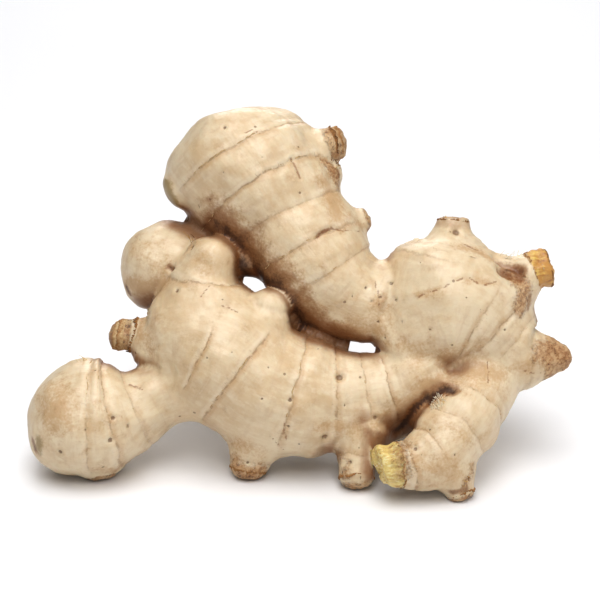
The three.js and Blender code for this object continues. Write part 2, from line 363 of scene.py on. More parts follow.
MARKS = (
    *marks_of(
        Blemish.LINE,
        (((-13.8, 89.2), (-12, 90), (-10.2, 89.2)), 0.27, 0.21),
        (((-2.2, 83), (-1.2, 80.5), (-0.2, 77.8)), 0.36, 0.56),
        (((4.2, 63.2), (6, 64.8), (8, 65.5)), 0.48, 0.49),
        (((8, 65.5), (11.2, 64.8), (15, 64.8)), 0.27, 0.35),
        (((20, 58.2), (18.5, 56.5), (17.8, 54.5), (18.5, 52.5)), 0.54, 0.84),
        (((18.5, 52.5), (19.5, 49.5), (20, 46)), 0.3, 0.42), (((29.5, 48.2), (31, 49)), 0.3, 0.17),
        (((32.5, 49.5), (34.2, 50)), 0.27, 0.17), (((35.8, 50.5), (37.2, 51.5)), 0.3, 0.17),
        (((39, 52.2), (40.8, 53)), 0.27, 0.17), (((42.5, 53), (44.5, 51.8)), 0.3, 0.17),
        (((46.2, 51.2), (49.2, 52.2)), 0.3, 0.21), (((55, 30), (58, 29.2), (61.2, 29.5)), 0.24, 0.21),
        (((47, 32), (47.2, 29.5), (47, 26.8)), 0.24, 0.21),
        (((41.2, 61.5), (43, 60.8), (45, 60)), 0.36, 0.28), (((42.5, 58.5), (44.5, 58)), 0.3, 0.21),
        (((50, 57.8), (52.5, 57), (54.8, 55.5), (55.5, 53.2)), 1.5, 2.2),
        (((50.8, 55), (53, 54)), 1.4, 1.8), (((-25, 48.2), (-23.5, 50), (-22.5, 51.2)), 0.24, 0.21),
        (((-19.5, 46.2), (-17.5, 45.5), (-15.5, 44.5)), 0.27, 0.21),
        (((-3.8, 16.5), (-4, 14.5), (-3.2, 12.2)), 0.3, 0.28),
        (((-7.5, 13.5), (-6, 11.8), (-4.2, 10)), 0.21, 0.21),
        (((-42.8, 26.5), (-41.2, 26), (-39.5, 25.2)), 0.36, 0.28),
        (((-43.8, 19.5), (-44.2, 15), (-41.8, 11.5), (-37.5, 10)), 0.21, 0.21),
    ),
    # Real stains and tone, and broad painted shade on the hub's right side, the crown's right side and
    # underside, and the back knob's lower side.
    *marks_of(
        Blemish.STAIN_AND_SHADE,
        (((-62.5, 23), (-60.5, 18.8)), 6.2, 0, 0.85),
        (((-55.5, 23.5), (-51, 21.5), (-48, 17.5)), 2.6, 0, 0.55),
        (((5.5, 39.5), (11.2, 40.5), (18.8, 39.5)), 4, 0, 0.8), (((41, 61), (46.5, 58.5)), 2.6, 0, 0.8),
        (((-44.5, 50), (-40.5, 47), (-36, 46.8)), 2.4), (((-26, 62.5), (-23.8, 57)), 2.4, 0, 0.8),
        (((-18.5, 66), (-12.5, 58.5), (-3.8, 49), (3, 41)), 6, 0, 1, "crown"),
        (((20, 47.5), (21.5, 40)), 3.2, 0, 0.7), (((29.5, 49), (35, 50.5)), 1.3, 0, 0.7),
        (((40.5, 52.2), (48.8, 51.5)), 1.3, 0, 0.7), (((21.2, 16.5), (27.5, 20.5), (34.5, 26.2)), 3.6),
        (((-40, 40), (-37.5, 34.5)), 2.4, 0, 0.8), (((-23.8, 66), (-19.5, 69)), 2.6),
        (((12.5, 68.8), (15.5, 66)), 1.8, 0, 0.8), (((-50, 5), (-45.5, 5.5)), 2, 0, 0.8),
        (((50, 29.5), (57.5, 31)), 2.2, 0, 0.7), (((5, 77.5), (9, 72.5)), 3, 0, 0.7),
        (((37, 32), (43.8, 29.5), (50, 28.5)), 5, 0, 0.8),
        (((6.5, 77.5), (8.5, 72.5), (9.5, 69)), 4, 0, 0.9),
        (((-42, 51), (-37.5, 50), (-34.5, 51.5)), 3.6, 0, 0.9),
        (((32.5, 12.5), (38.8, 13.5), (42.5, 12.5)), 6, 0, 0.55), (((7.5, 16.2), (13, 15)), 4.5, 0, 0.6),
        (((-16, 10.5), (-9.5, 9.5)), 4, 0, 0.6), (((26.2, 35), (32.5, 33.5)), 4.5, 0, 0.6),
        (((-40, 61.2), (-37.5, 57), (-35, 53.8)), 7, 0, 0.55, "back_knob"),
        (((27, 7), (33.8, 5.5), (40, 5)), 5, 0, 0.6),
    ),
    *marks_of(
        Blemish.RUST,
        (((62, 34.5), (65.5, 33.2)), 3, 0, 0.8), (((11.8, 7), (10.8, 3.5)), 2.6, 0, 0.55),
        (((24.8, 10.5), (25.5, 4.5)), 3, 0, 0.7), (((43.2, 6), (41.6, 2), (40.6, -1)), 1.6, 0, 0.6),
        (((10.2, 9), (10, 5.5), (11.5, 3.5)), 2.4, 0, 0.55, "small_foot"),
        (((-16, 7), (-13.5, 4.5), (-9.5, 4.5)), 2, 0, 0.9), (((54, 53.5), (56.5, 50), (55.2, 45.8)), 2.4),
        (((54.5, 52), (56.5, 49.5), (57.5, 46.5)), 1.7, 0, 0.75),
        (((60.8, 34.5), (63.2, 33.2), (65.8, 33.2)), 3),
        (((6.5, 82), (8.5, 79.5), (9.5, 76.5)), 1.8, 0, 0.9),
    ),
    *marks_of(
        Blemish.OLIVE,
        (((-33, 76), (-31.8, 73.8)), 1.5, 0, 0.8), (((-65.5, 12.5), (-65, 9.5)), 1.3),
    ),
    # Painted shade, darkest at the core: in the crevices, under the crown and the back knob, and round the
    # feet where they meet the table.
    *marks_of(
        Blemish.DARK_SHADE,
        (((-18.5, 64.5), (-15, 59), (-10.8, 54.5)), 2.6, 0, 0.95, "crown"),
        (((-9.5, 53.5), (-3.8, 48.2), (0.2, 41.2), (5.5, 37)), 2.6, 0, 1, "crown"),
        (((4.5, 36.8), (11.2, 35.5), (16.5, 35.2), (20.8, 35)), 1.5, 0, 0.9, "crown"),
        (((-14.5, 57), (-13.2, 53.5)), 2, 0, 0.9),
        (((-4.2, 47.5), (-2, 42.5), (0, 39.8)), 1, 0, 0.9, "middle"),
        (((38.2, 24.8), (36, 25.5), (34, 24.2), (32, 22.5)), 1.2, 0.5),
        (((32, 23), (28.5, 19.5), (25.5, 15.5), (23, 12.5), (21, 11)), 1.3, 0.4, 1, "middle"),
        (((20.2, 58.8), (18.5, 56.8), (17.8, 54.5), (18.5, 51.5)), 0.9, 0, 0.7),
        (((52.2, 56), (54.2, 56.2), (55.6, 55.4)), 1.1, 0, 0.9), (((53, 53.8), (54.8, 52.8)), 0.9, 0, 0.9),
        (((57.6, 48.5), (57.2, 45.5)), 0.7, 0, 0.7),
        (((-44.5, 49.5), (-41, 46.8), (-36, 46), (-34, 49)), 0.7, 0, 0.6),
        (((-31, 68.2), (-27, 66.5), (-23.2, 64.8), (-19.5, 62.5)), 1.1, 0, 0.7),
        (((-33, 73.2), (-30.5, 71), (-27.5, 69)), 0.7, 0, 0.7), (((66.8, 34.5), (67.5, 33)), 0.8, 0, 0.8),
        (((-16.5, 5.8), (-13.5, 3), (-8.5, 3.5)), 0.7, 0, 0.7),
        (((9.8, 5), (12, 1.2), (17, 0.8)), 0.8, 0, 0.7), (((38, -0.5), (41.5, 0.2)), 0.7, 0, 0.7),
        (((-66.8, 12.5), (-66, 10)), 0.8, 0, 0.7), (((-32.8, 55.8), (-31.8, 55.2)), 0.6, 0.2, 0.7),
        (((-20, 66), (-14, 60), (-6.5, 51.5), (1, 41.5), (8.8, 37.5)), 5.2, 0, 0.62, "crown"),
        (((7.5, 81), (9.5, 79)), 0.8, 0, 0.7), (((-43.5, 50.5), (-42.5, 49)), 0.7, 0, 0.8),
        (((4.8, 64), (7, 64.8)), 0.6, 0.3, 0.6),
    ),
    *marks_of(
        Blemish.GOLD,
        (((57.5, 54.5), (62.5, 55)), 14, 0, 1, "hub_side"),
    ),
)


@dataclass(frozen=True)
class Collar:
    """Dead leaf that wraps a bud or a broken end.

    Attributes:
        finger: the finger it grows on.
        back: how far its foot is from the tip, in mm.
        height: its length along the finger in mm.
        lift: how far its edge stands off the skin, in mm.
        dark: its colour, from 0 for straw to 1 for dark brown.
        ragged: depth of the tears in its edge, as a share of its height.
    """

    finger: str
    back: float
    height: float
    lift: float
    dark: float
    ragged: float = 0.35


COLLARS = (
    Collar("crown_bud", 5.2, 2.6, 0.35, 0.45), Collar("crown_bud", 3.4, 2.4, 0.3, 0.7, 0.25),
    Collar("crown_bud", 1.9, 1.9, 0.1, 0.5, 0.3), Collar("crown_eye", 2.6, 1.8, 0.3, 0.4, 0.8),
    Collar("crown_shoulder", 3.0, 2.0, 0.3, 0.5, 0.9), Collar("crown_tip", 6.0, 3.0, 0.4, 0.5),
    Collar("crown_tip", 3.6, 2.6, 0.3, 0.7), Collar("middle", 6.6, 1.6, 0.25, 0.65, 0.9),
    Collar("middle", 4.4, 2.4, 0.2, 0.35, 0.3), Collar("middle", 2.6, 2.0, 0.1, 0.3, 0.3),
    Collar("middle_rear_bud", 5.0, 2.4, 0.4, 0.5), Collar("middle_rear_bud", 2.8, 2.2, 0.3, 0.8),
    Collar("hub_rear_bud", 5.0, 2.6, 0.4, 0.5), Collar("hub_rear_bud", 2.6, 2.2, 0.3, 0.8),
    Collar("hub_top", 1.1, 0.8, 0.08, 0.7, 1.2), Collar("hub_side", 5.4, 1.2, 0.15, 0.4, 1.2),
    Collar("hub_side", 1.1, 1.0, 0.05, 0.75, 1.3), Collar("front_finger", 5.2, 1.2, 0.15, 0.35, 1.25),
    Collar("front_foot", 2.6, 1.2, 0.12, 0.6, 1.0), Collar("small_foot", 3.2, 1.2, 0.15, 0.55, 1.0),
    Collar("left_foot", 1.6, 1.0, 0.1, 0.5, 1.0), Collar("front_heel", 2.4, 1.1, 0.15, 0.6, 1.0),
    Collar("rear_foot", 3.0, 1.3, 0.2, 0.6, 1.0),
)


@dataclass(frozen=True)
class Tuft:
    """Threads that stick out of the skin.

    Attributes:
        root: the finger whose end they stand on, or the place (across, up) in mm, as seen from the front.
        count: how many there are.
        length: their mean length in mm.
        width: their mean radius at the foot, in mm.
        spread: how far apart their feet are, in mm.
        dark: their colour, from 0 for pale yellow to 1 for dark brown.
        lean: how far they lie over, from 0 for upright to 1 for flat.
        heading: the way they lie, as a direction (across, up).
    """

    root: str | tuple
    count: int
    length: float
    width: float
    spread: float
    dark: float
    lean: float = 0.2
    heading: tuple = (1, 0)


TUFTS = (
    Tuft("hub_side", 20, 0.4, 0.4, 4.0, 0.35), Tuft("hub_side", 10, 0.6, 0.28, 4.4, 0.6),
    Tuft("front_finger", 22, 0.4, 0.45, 4.2, 0.1), Tuft("front_finger", 6, 0.5, 0.34, 4.6, 0.35),
    Tuft("hub_top", 6, 0.6, 0.22, 3.2, 0.75), Tuft("hub", 14, 0.6, 0.2, 2.4, 0.6),
    Tuft((51.0, 58.2), 9, 2.6, 0.12, 1.8, 0.1, 0.75, (1, 0.5)),
    Tuft((54.5, 58.6), 8, 2.4, 0.12, 1.6, 0.15, 0.7, (1, 0.2)),
    Tuft((8.8, 81.5), 9, 1.7, 0.16, 1.4, 0.7, 0.3, (1, -0.3)),
    Tuft((34.4, 21.8), 160, 0.8, 0.2, 2.4, 0.0, 0.3, (1, 0.6)),
    Tuft((-27.0, 62.0), 8, 1.4, 0.12, 2.0, 0.6, 0.7, (-0.5, 1)),
    Tuft((28.0, 4.5), 10, 1.2, 0.14, 2.4, 0.6, 0.6, (-1, -0.4)),
    Tuft((-53.8, 32.4), 6, 1.6, 0.16, 1.6, 0.2, 0.8, (-1, 0.3)),
    Tuft((41.5, 2.0), 8, 1.0, 0.14, 1.8, 0.6, 0.5, (1, -0.6)),
)


def from_plan(points: np.ndarray) -> np.ndarray:
    """Leans points of the plan back and sets them in the part's frame.

    Args:
        points: plan coordinates in mm, one row each.

    Returns:
        The same points in metres.
    """
    across, back, up = np.asarray(points, float).T
    depth = back * math.cos(LEAN) + up * math.sin(LEAN)
    height = up * math.cos(LEAN) - back * math.sin(LEAN)
    return np.stack([across - BASE_MIDDLE[0], depth - BASE_MIDDLE[1], height], axis=1) * MM


def to_plan(points: np.ndarray) -> np.ndarray:
    """The opposite of from_plan: points in metres to plan coordinates in mm."""
    across, depth, height = (np.asarray(points, float) / MM).T
    across, depth = across + BASE_MIDDLE[0], depth + BASE_MIDDLE[1]
    back = depth * math.cos(LEAN) - height * math.sin(LEAN)
    up = depth * math.sin(LEAN) + height * math.cos(LEAN)
    return np.stack([across, back, up], axis=1)


def smooth(low: float, high: float, values: np.ndarray) -> np.ndarray:
    """A soft step: 0 below low, 1 above high."""
    share = np.clip((values - low) / (high - low), 0, 1)
    return share * share * (3 - 2 * share)


def unit(arrows: np.ndarray) -> np.ndarray:
    """The same directions, of length 1."""
    return arrows / np.maximum(np.linalg.norm(arrows, axis=-1, keepdims=True), TINY)


def dots(a: np.ndarray, b: np.ndarray) -> np.ndarray:
    """The dot product of each row of a with the same row of b."""
    return np.einsum("ij,ij->i", a, b)


class Grain:
    """Seeded gradient noise in three dimensions, about -1 to 1."""

    CORNERS = 256  # different corners of the lattice, after which it repeats
    REACH = 1.6  # brings the noise to about -1 to 1
    SHIFT = 17.3  # mm between one layer and the next, so that they don't line up

    def __init__(self, seed: int) -> None:
        """Draws the lattice's gradients from the seed."""
        draw = np.random.default_rng(seed)
        self.order = draw.permutation(self.CORNERS)
        self.arrows = unit(draw.normal(size=(self.CORNERS, 3)))

    def at(self, points: np.ndarray, size: float) -> np.ndarray:
        """The noise at each point.

        Args:
            points: one row each.
            size: distance between the lattice's corners, in the points' unit.

        Returns:
            One value for each point.
        """
        scaled = points / size
        cell = np.floor(scaled).astype(int)
        inside = scaled - cell
        ease = inside**3 * (inside * (inside * 6 - 15) + 10)
        total = np.zeros(len(points))
        for corner in np.ndindex(2, 2, 2):
            drawn = np.zeros(len(points), int)
            for number in (cell + corner).T:
                drawn = self.order[(drawn + number) % self.CORNERS]
            weight = np.prod(np.where(corner, ease, 1 - ease), axis=1)
            total += weight * dots(self.arrows[drawn], inside - corner)
        return total * self.REACH

    def layered(self, points: np.ndarray, size: float, layers: int = 3) -> np.ndarray:
        """Noise with finer, weaker layers added, each half the size and half the height of the last."""
        return sum(self.at(points + self.SHIFT * n, size / 2**n) / 2**n for n in range(layers))


@dataclass
class Reading:
    """What one finger says about a set of points: arrays with a row or value for each point.

    Attributes:
        gap: distance to its skin in mm, negative inside.
        station: distance along it, with the slant of its rings taken out, in mm.
        uphill: direction in which the gap grows, of length 1.
        straight: the point's place in the finger as if unbent, in mm: two directions across it, then
            along it.
    """

    gap: np.ndarray
    station: np.ndarray
    uphill: np.ndarray
    straight: np.ndarray


class Spine:
    """The middle line of a finger, with its girth and the directions across it."""

    STEP = 1.0  # mm between the samples along it
    MARGIN = 9.0  # mm beyond its girth at which its skin still matters
    AHEAD = 0.5  # mm ahead at which its girth is read for the slope

    def __init__(self, finger: Finger) -> None:
        """Samples the curve through the finger's stations."""
        self.finger = finger
        knots = np.array([(across, back, up, radius) for across, up, back, radius in finger.path], float)
        samples = self._curve(knots)
        self.nodes, self.radii = samples[:, :3], samples[:, 3]
        self.steps = np.diff(self.nodes, axis=0)
        self.lengths = np.linalg.norm(self.steps, axis=1)
        self.stations = np.concatenate([[0], np.cumsum(self.lengths)])
        self.length = self.stations[-1]
        self.base, self.tip = self.radii[0], self.radii[-1]
        self.along = self.steps / self.lengths[:, None]
        self.sides = self._carried(self.along)
        reach = self.radii.max() + self.MARGIN
        self.low, self.high = self.nodes.min(0) - reach, self.nodes.max(0) + reach

    def _curve(self, knots: np.ndarray) -> np.ndarray:
        """Points of a centripetal curve through the knots, with radii on a plain spline through theirs."""
        points, radii = knots[:, :3], knots[:, 3]
        points = np.vstack([2 * points[0] - points[1], points, 2 * points[-1] - points[-2]])
        radii = np.concatenate([radii[:1], radii, radii[-1:]])
        gaps = np.sqrt(np.linalg.norm(np.diff(points, axis=0), axis=1))
        rows = []
        for i in range(len(knots) - 1):
            (p0, p1, p2, p3), (g0, g1, g2) = points[i : i + 4], gaps[i : i + 3]
            r0, r1, r2, r3 = radii[i : i + 4]
            leave = ((p1 - p0) / g0 - (p2 - p0) / (g0 + g1) + (p2 - p1) / g1) * g1
            arrive = ((p2 - p1) / g1 - (p3 - p1) / (g1 + g2) + (p3 - p2) / g2) * g1
            starts = np.array([*p1, r1]), np.array([*leave, (r2 - r0) / 2])
            ends = np.array([*p2, r2]), np.array([*arrive, (r3 - r1) / 2])
            count = max(2, math.ceil(np.linalg.norm(p2 - p1) / self.STEP))
            for t in np.arange(count) / count:
                rows.append(
                    starts[0] * (2 * t**3 - 3 * t**2 + 1)
                    + starts[1] * (t**3 - 2 * t**2 + t)
                    + ends[0] * (3 * t**2 - 2 * t**3)
                    + ends[1] * (t**3 - t**2)
                )
        rows.append(knots[-1])
        return np.array(rows)

    def reach(self) -> float:
        """Distance from the base to the very tip, in mm."""
        return self.length + self.finger.dome * self.tip

    def _carried(self, along: np.ndarray) -> np.ndarray:
        """A direction across the spine at each step, carried along it with no twist."""
        side = np.cross(along[0], (0.31, 0.87, 0.38))  # a direction that no finger takes
        sides = []
        for tangent in along:
            side = unit(side - tangent * (side @ tangent))
            sides.append(side)
        return np.array(sides)

    def place(self, station: float, angle: float, radius: float) -> np.ndarray:
        """A point of the plan beside the spine.

        Args:
            station: distance along the spine in mm.
            angle: turn round it, in radians.
            radius: distance from it in mm.

        Returns:
            Plan coordinates in mm.
        """
        i = np.clip(np.searchsorted(self.stations, station, side="right") - 1, 0, len(self.steps) - 1)
        centre = self.nodes[i] + self.along[i] * (station - self.stations[i])
        other = np.cross(self.along[i], self.sides[i])
        return centre + radius * (math.cos(angle) * self.sides[i] + math.sin(angle) * other)

    def near(self, points: np.ndarray) -> np.ndarray:
        """Which points are close enough to matter to this finger."""
        return np.all((points > self.low) & (points < self.high), axis=1)

    def read(self, points: np.ndarray) -> Reading:
        """Measures points against the finger.

        Args:
            points: plan coordinates in mm.

        Returns:
            Their reading.
        """
        starts, square = self.nodes[:-1], self.lengths**2
        run = points @ self.steps.T - (starts * self.steps).sum(1)
        share = np.clip(run / square, 0, 1)
        far = (points**2).sum(1)[:, None] - 2 * points @ starts.T + (starts**2).sum(1)
        far = far - 2 * share * run + share**2 * square
        i = np.argmin(far, axis=1)
        rows = np.arange(len(points))
        share = share[rows, i]
        ahead = run[rows, i] / square[i]
        share = np.where((i == 0) & (ahead < 0), ahead, share)
        share = np.where((i == len(square) - 1) & (ahead > 1), ahead, share)
        along, side = self.along[i], self.sides[i]
        outward = points - starts[i] - self.steps[i] * share[:, None]
        outward -= along * dots(outward, along)[:, None]
        across = np.cross(along, (0.0, 1.0, 0.0))
        station = self.stations[i] + self.lengths[i] * share
        station = station - self.finger.slant * dots(outward, across)
        gap, lean = self._profile(station, np.linalg.norm(outward, axis=1))
        uphill = unit(outward) * np.sqrt(1 - lean**2)[:, None] + along * lean[:, None]
        turned = dots(outward, side), dots(outward, np.cross(along, side))
        return Reading(gap, station, uphill, np.stack([*turned, station], axis=1))

    def _profile(self, station: np.ndarray, rise: np.ndarray) -> tuple[np.ndarray, np.ndarray]:
        """Distance to the turned outline, and how much it grows along the spine."""
        radius = np.interp(station, self.stations, self.radii)
        slope = (np.interp(station + self.AHEAD, self.stations, self.radii) - radius) / self.AHEAD
        body = (rise - radius) / np.sqrt(1 + slope**2)
        body_lean = -slope / np.sqrt(1 + slope**2)
        past = np.where(station > self.length, station - self.length, np.minimum(station, 0))
        wide = np.where(past > 0, self.tip, self.base)
        long = np.where(past > 0, self.finger.dome * self.tip, BASE_DEPTH * self.base)
        round_size = np.sqrt((rise / wide) ** 2 + (past / long) ** 2)
        round_slope = np.sqrt((rise / wide**2) ** 2 + (past / long**2) ** 2)
        capped = round_size * (round_size - 1) / np.maximum(round_slope, TINY)
        capped_lean = (past / long**2) / np.maximum(round_slope, TINY)
        outside = past != 0
        return np.where(outside, capped, body), np.clip(np.where(outside, capped_lean, body_lean), -1, 1)


@dataclass(frozen=True)
class Slit:
    """The see-through slit between the crown and the middle finger: a flat oval rod from front to back.

    Attributes:
        middle: its middle as (across, up) in mm, at the given distance back.
        back: that distance, in mm.
        half: half its width and half its height in mm.
        drift: how far its middle moves as (across, up) for each mm further back.
        tilt: how far its right end sinks, in degrees.
        length: how far it runs to the front and to the back, in mm.
        sides: faces round the rod that cuts it.
    """

    middle: tuple = (15.3, 35.4)
    back: float = 10.0
    half: tuple = (4.5, 0.95)
    drift: tuple = (0.031, -0.024)
    tilt: float = 7.0
    length: float = 24.0
    sides: int = 32

    def directions(self) -> np.ndarray:
        """The directions along its width and its height, as rows of (across, up)."""
        turn = math.radians(self.tilt)
        return np.array([(math.cos(turn), -math.sin(turn)), (math.sin(turn), math.cos(turn))])

    def middles(self, back: np.ndarray) -> np.ndarray:
        """Its middle as (across, up), at each distance back."""
        return np.array(self.middle) + (back - self.back)[:, None] * self.drift

    def read(self, points: np.ndarray) -> tuple[np.ndarray, np.ndarray]:
        """Measures points against the slit.

        Args:
            points: plan coordinates in mm.

        Returns:
            How far each is inside the slit in mm, and the way to its middle.
        """
        place = (points[:, [0, 2]] - self.middles(points[:, 1])) @ self.directions().T
        share = np.linalg.norm(place / self.half, axis=1)
        slope = place / np.square(self.half)
        steep = np.maximum(np.linalg.norm(slope, axis=1), TINY)
        way = -(slope / steep[:, None]) @ self.directions()
        return share * (1 - share) / steep, np.stack([way[:, 0], np.zeros(len(points)), way[:, 1]], axis=1)

    def cutter(self) -> bpy.types.Object:
        """A rod of the slit's shape."""
        deselect()
        bpy.ops.mesh.primitive_cylinder_add(vertices=self.sides, radius=1, depth=2)
        rod = bpy.context.active_object
        flat = positions(rod.data)
        back = self.back - flat[:, 2] * self.length
        place = self.middles(back) + (flat[:, :2] * self.half) @ self.directions()
        set_positions(rod.data, from_plan(np.stack([place[:, 0], back, place[:, 1]], axis=1)))
        return rod


@dataclass
class Skin:
    """The hand's skin at a set of points: arrays with a row or value for each point.

    Attributes:
        gap: distance to the skin in mm, negative inside.
        uphill: direction out of the skin.
        owner: index of the finger that the point belongs to.
        alone: 0 where two fingers' skins meet, 1 where only one is near.
        clear: the same, but it reaches 1 only well away from the other fingers.
        crease: 1 in the fold between two fingers, 0 away from it.
        station: distance along the owner in mm.
        straight: place in the owner as if unbent, in mm.
    """

    gap: np.ndarray
    uphill: np.ndarray
    owner: np.ndarray
    alone: np.ndarray
    clear: np.ndarray
    crease: np.ndarray
    station: np.ndarray
    straight: np.ndarray


class Flesh:
    """All fingers together, as one body with fleshy joins."""

    BATCH = 20000  # points that are measured at once
    ALONE = (0.2, 1.6)  # mm by which the next finger is farther, where a finger's skin starts to be its own
    CLEAR = (1.0, 5.0)  # mm by which it is farther, where the skin is clear of it

    def __init__(self, fingers: dict[str, Finger]) -> None:
        """Makes the spine of every finger."""
        self.names = list(fingers)
        self.spines = [Spine(finger) for finger in fingers.values()]
        self.slit = Slit()

    def skin(self, points: np.ndarray) -> Skin:
        """Measures points against the whole body.

        Args:
            points: plan coordinates in mm.

        Returns:
            The skin there.
        """
        parts = [self._batch(points[i : i + self.BATCH]) for i in range(0, len(points), self.BATCH)]
        names = Skin.__dataclass_fields__
        return Skin(**{name: np.concatenate([getattr(part, name) for part in parts]) for name in names})

    def _batch(self, points: np.ndarray) -> Skin:
        """The skin at a batch of points."""
        count, total = len(points), len(self.spines)
        gaps = np.full((total, count), FAR)
        stations = np.zeros((total, count))
        uphills = np.zeros((total, count, 3))
        straights = np.zeros((total, count, 3))
        for i, spine in enumerate(self.spines):
            near = spine.near(points)
            if near.any():
                reading = spine.read(points[near])
                gaps[i, near], stations[i, near] = reading.gap, reading.station
                uphills[i, near], straights[i, near] = reading.uphill, reading.straight
        grown = gaps - self._fillets(gaps) - self._swell(points)
        rows = np.arange(count)
        order = np.argsort(grown, axis=0)
        first, second = order[0], order[1]
        lead = grown[second, rows] - grown[first, rows]
        weights = np.exp(-(grown - grown[first, rows]) / JOIN)
        gap = grown[first, rows] - JOIN * np.log(weights.sum(0))
        uphill = unit(np.einsum("fn,fnk->nk", weights, uphills))
        depth, way = self.slit.read(points)
        cut = depth > gap
        gap, uphill = np.where(cut, depth, gap), np.where(cut[:, None], way, uphill)
        turn = 1 - dots(uphills[first, rows], uphills[second, rows])
        crease = np.exp(-lead / FALL_OFF) * np.clip(SHARP * turn, 0, 1)
        return Skin(
            gap=gap,
            uphill=uphill,
            owner=first,
            alone=smooth(*self.ALONE, lead),
            clear=smooth(*self.CLEAR, lead),
            crease=crease,
            station=stations[first, rows],
            straight=straights[first, rows],
        )

    def _fillets(self, gaps: np.ndarray) -> np.ndarray:
        """Fleshy rise of each finger's skin close to the skin of the fingers it joins."""
        rises = np.zeros_like(gaps)
        for i, spine in enumerate(self.spines):
            for j, other in enumerate(self.spines):
                if i != j:
                    reach = min(FILLET_REACH, FILLET_SHARE * min(spine.base, other.base))
                    share = 1 - np.minimum(1, np.abs(gaps[j]) / reach)
                    rises[i] = np.maximum(rises[i], FILLET_RISE * reach * share**2)
        return rises

    def _swell(self, points: np.ndarray) -> np.ndarray:
        """Broad, gentle lumps that run on from one finger to the next, smaller on thin fingers."""
        x, y, z = points.T
        # each sine has its own wave length in mm and its own shift, so that the lumps don't line up
        wide = np.sin(x / 4.1 + 0.6) * np.sin(z / 4.7 + 1.1)
        tall = np.sin(y / 3.7 + x / 9 + 2) * np.sin(z / 6.3 - 0.4)
        share = np.array([min(1, spine.base / THICK) for spine in self.spines])
        return share[:, None] * SWELL * (wide + tall)


class Ties:
    """The edges of a mesh, for averaging each vertex with its neighbours."""

    def __init__(self, mesh: bpy.types.Mesh) -> None:
        """Reads the edges."""
        ends = np.zeros(len(mesh.edges) * 2, np.int32)
        mesh.edges.foreach_get("vertices", ends)
        a, b = ends.reshape(-1, 2).T
        self.start, self.end = np.concatenate([a, b]), np.concatenate([b, a])
        self.count = np.bincount(self.start, minlength=len(mesh.vertices))

    def mean(self, values: np.ndarray) -> np.ndarray:
        """The mean of each vertex's neighbours, for one value or a row of values each."""
        columns = values.reshape(len(values), -1)
        size = len(self.count)
        sums = [np.bincount(self.start, column[self.end], size) for column in columns.T]
        return (np.stack(sums, axis=1) / self.count[:, None]).reshape(values.shape)


def positions(mesh: bpy.types.Mesh) -> np.ndarray:
    """The places of a mesh's vertices, one row each."""
    flat = np.zeros(len(mesh.vertices) * 3)
    mesh.vertices.foreach_get("co", flat)
    return flat.reshape(-1, 3)


def set_positions(mesh: bpy.types.Mesh, points: np.ndarray) -> None:
    """Moves a mesh's vertices to these places."""
    mesh.vertices.foreach_set("co", np.asarray(points, np.float32).ravel())
    mesh.update()


def inside_box(world: np.ndarray) -> np.ndarray:
    """Points in metres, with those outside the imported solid's box brought onto it."""
    low, high = (np.array(corner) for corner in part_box("rhizome"))
    return np.clip(world, low, high)


def mark(mesh: bpy.types.Mesh, name: str, values: np.ndarray) -> None:
    """Stores one value, or one vector, for each vertex under a name that materials can read."""
    if values.ndim == 1:
        kind, slot = "FLOAT", "value"
    else:
        kind, slot = "FLOAT_VECTOR", "vector"
    layer = mesh.attributes.new(name, kind, "POINT")
    layer.data.foreach_set(slot, np.asarray(values, np.float32).ravel())


def apply(piece: bpy.types.Object, kind: str, settings: dict) -> None:
    """Adds a modifier to a picked piece and applies it.

    Args:
        piece: the piece, which is picked.
        kind: the modifier's type.
        settings: its settings.
    """
    made = piece.modifiers.new(kind.lower(), kind)
    for name, value in settings.items():
        setattr(made, name, value)
    bpy.ops.object.modifier_apply(modifier=made.name)


def deselect() -> None:
    """Leaves nothing selected, so that an operator acts only on what comes next."""
    for item in bpy.context.view_layer.objects:
        item.select_set(False)


def pick(item: bpy.types.Object) -> bpy.types.Object:
    """Makes an object the only selected one, and the active one."""
    deselect()
    item.select_set(True)
    bpy.context.view_layer.objects.active = item
    return item


class Wire:
    """A number in a material. Adding, multiplying and so on add the Math nodes."""

    def __init__(self, tree: bpy.types.NodeTree, socket: bpy.types.NodeSocket) -> None:
        """Holds an output socket of the tree."""
        self.tree, self.socket = tree, socket

    def _math(self, operation: str, *values: "Wire | float") -> "Wire":
        """A Math node on the given values."""
        made = add_node(self.tree, "ShaderNodeMath", {"operation": operation}, dict(enumerate(values)))
        return Wire(self.tree, made.outputs[0])

    def __add__(self, other: "Wire | float") -> "Wire":
        """self + other."""
        return self._math("ADD", self, other)

    def __sub__(self, other: "Wire | float") -> "Wire":
        """self - other."""
        return self._math("SUBTRACT", self, other)

    def __rsub__(self, other: float) -> "Wire":
        """other - self."""
        return self._math("SUBTRACT", other, self)

    def __mul__(self, other: "Wire | float") -> "Wire":
        """self * other."""
        return self._math("MULTIPLY", self, other)

    def __abs__(self) -> "Wire":
        """The size of self."""
        return self._math("ABSOLUTE", self)

    __radd__ = __add__
    __rmul__ = __mul__

    def most(self, other: "Wire | float") -> "Wire":
        """The larger of the two."""
        return self._math("MAXIMUM", self, other)

    def step(self, low: float, high: float) -> "Wire":
        """A soft step: 0 below low, 1 above high; turned round where low is above high."""
        made = add_node(
            self.tree,
            "ShaderNodeMapRange",
            {"interpolation_type": "SMOOTHSTEP", "clamp": True},
            {"Value": self, "From Min": low, "From Max": high},
        )
        return Wire(self.tree, made.outputs[0])


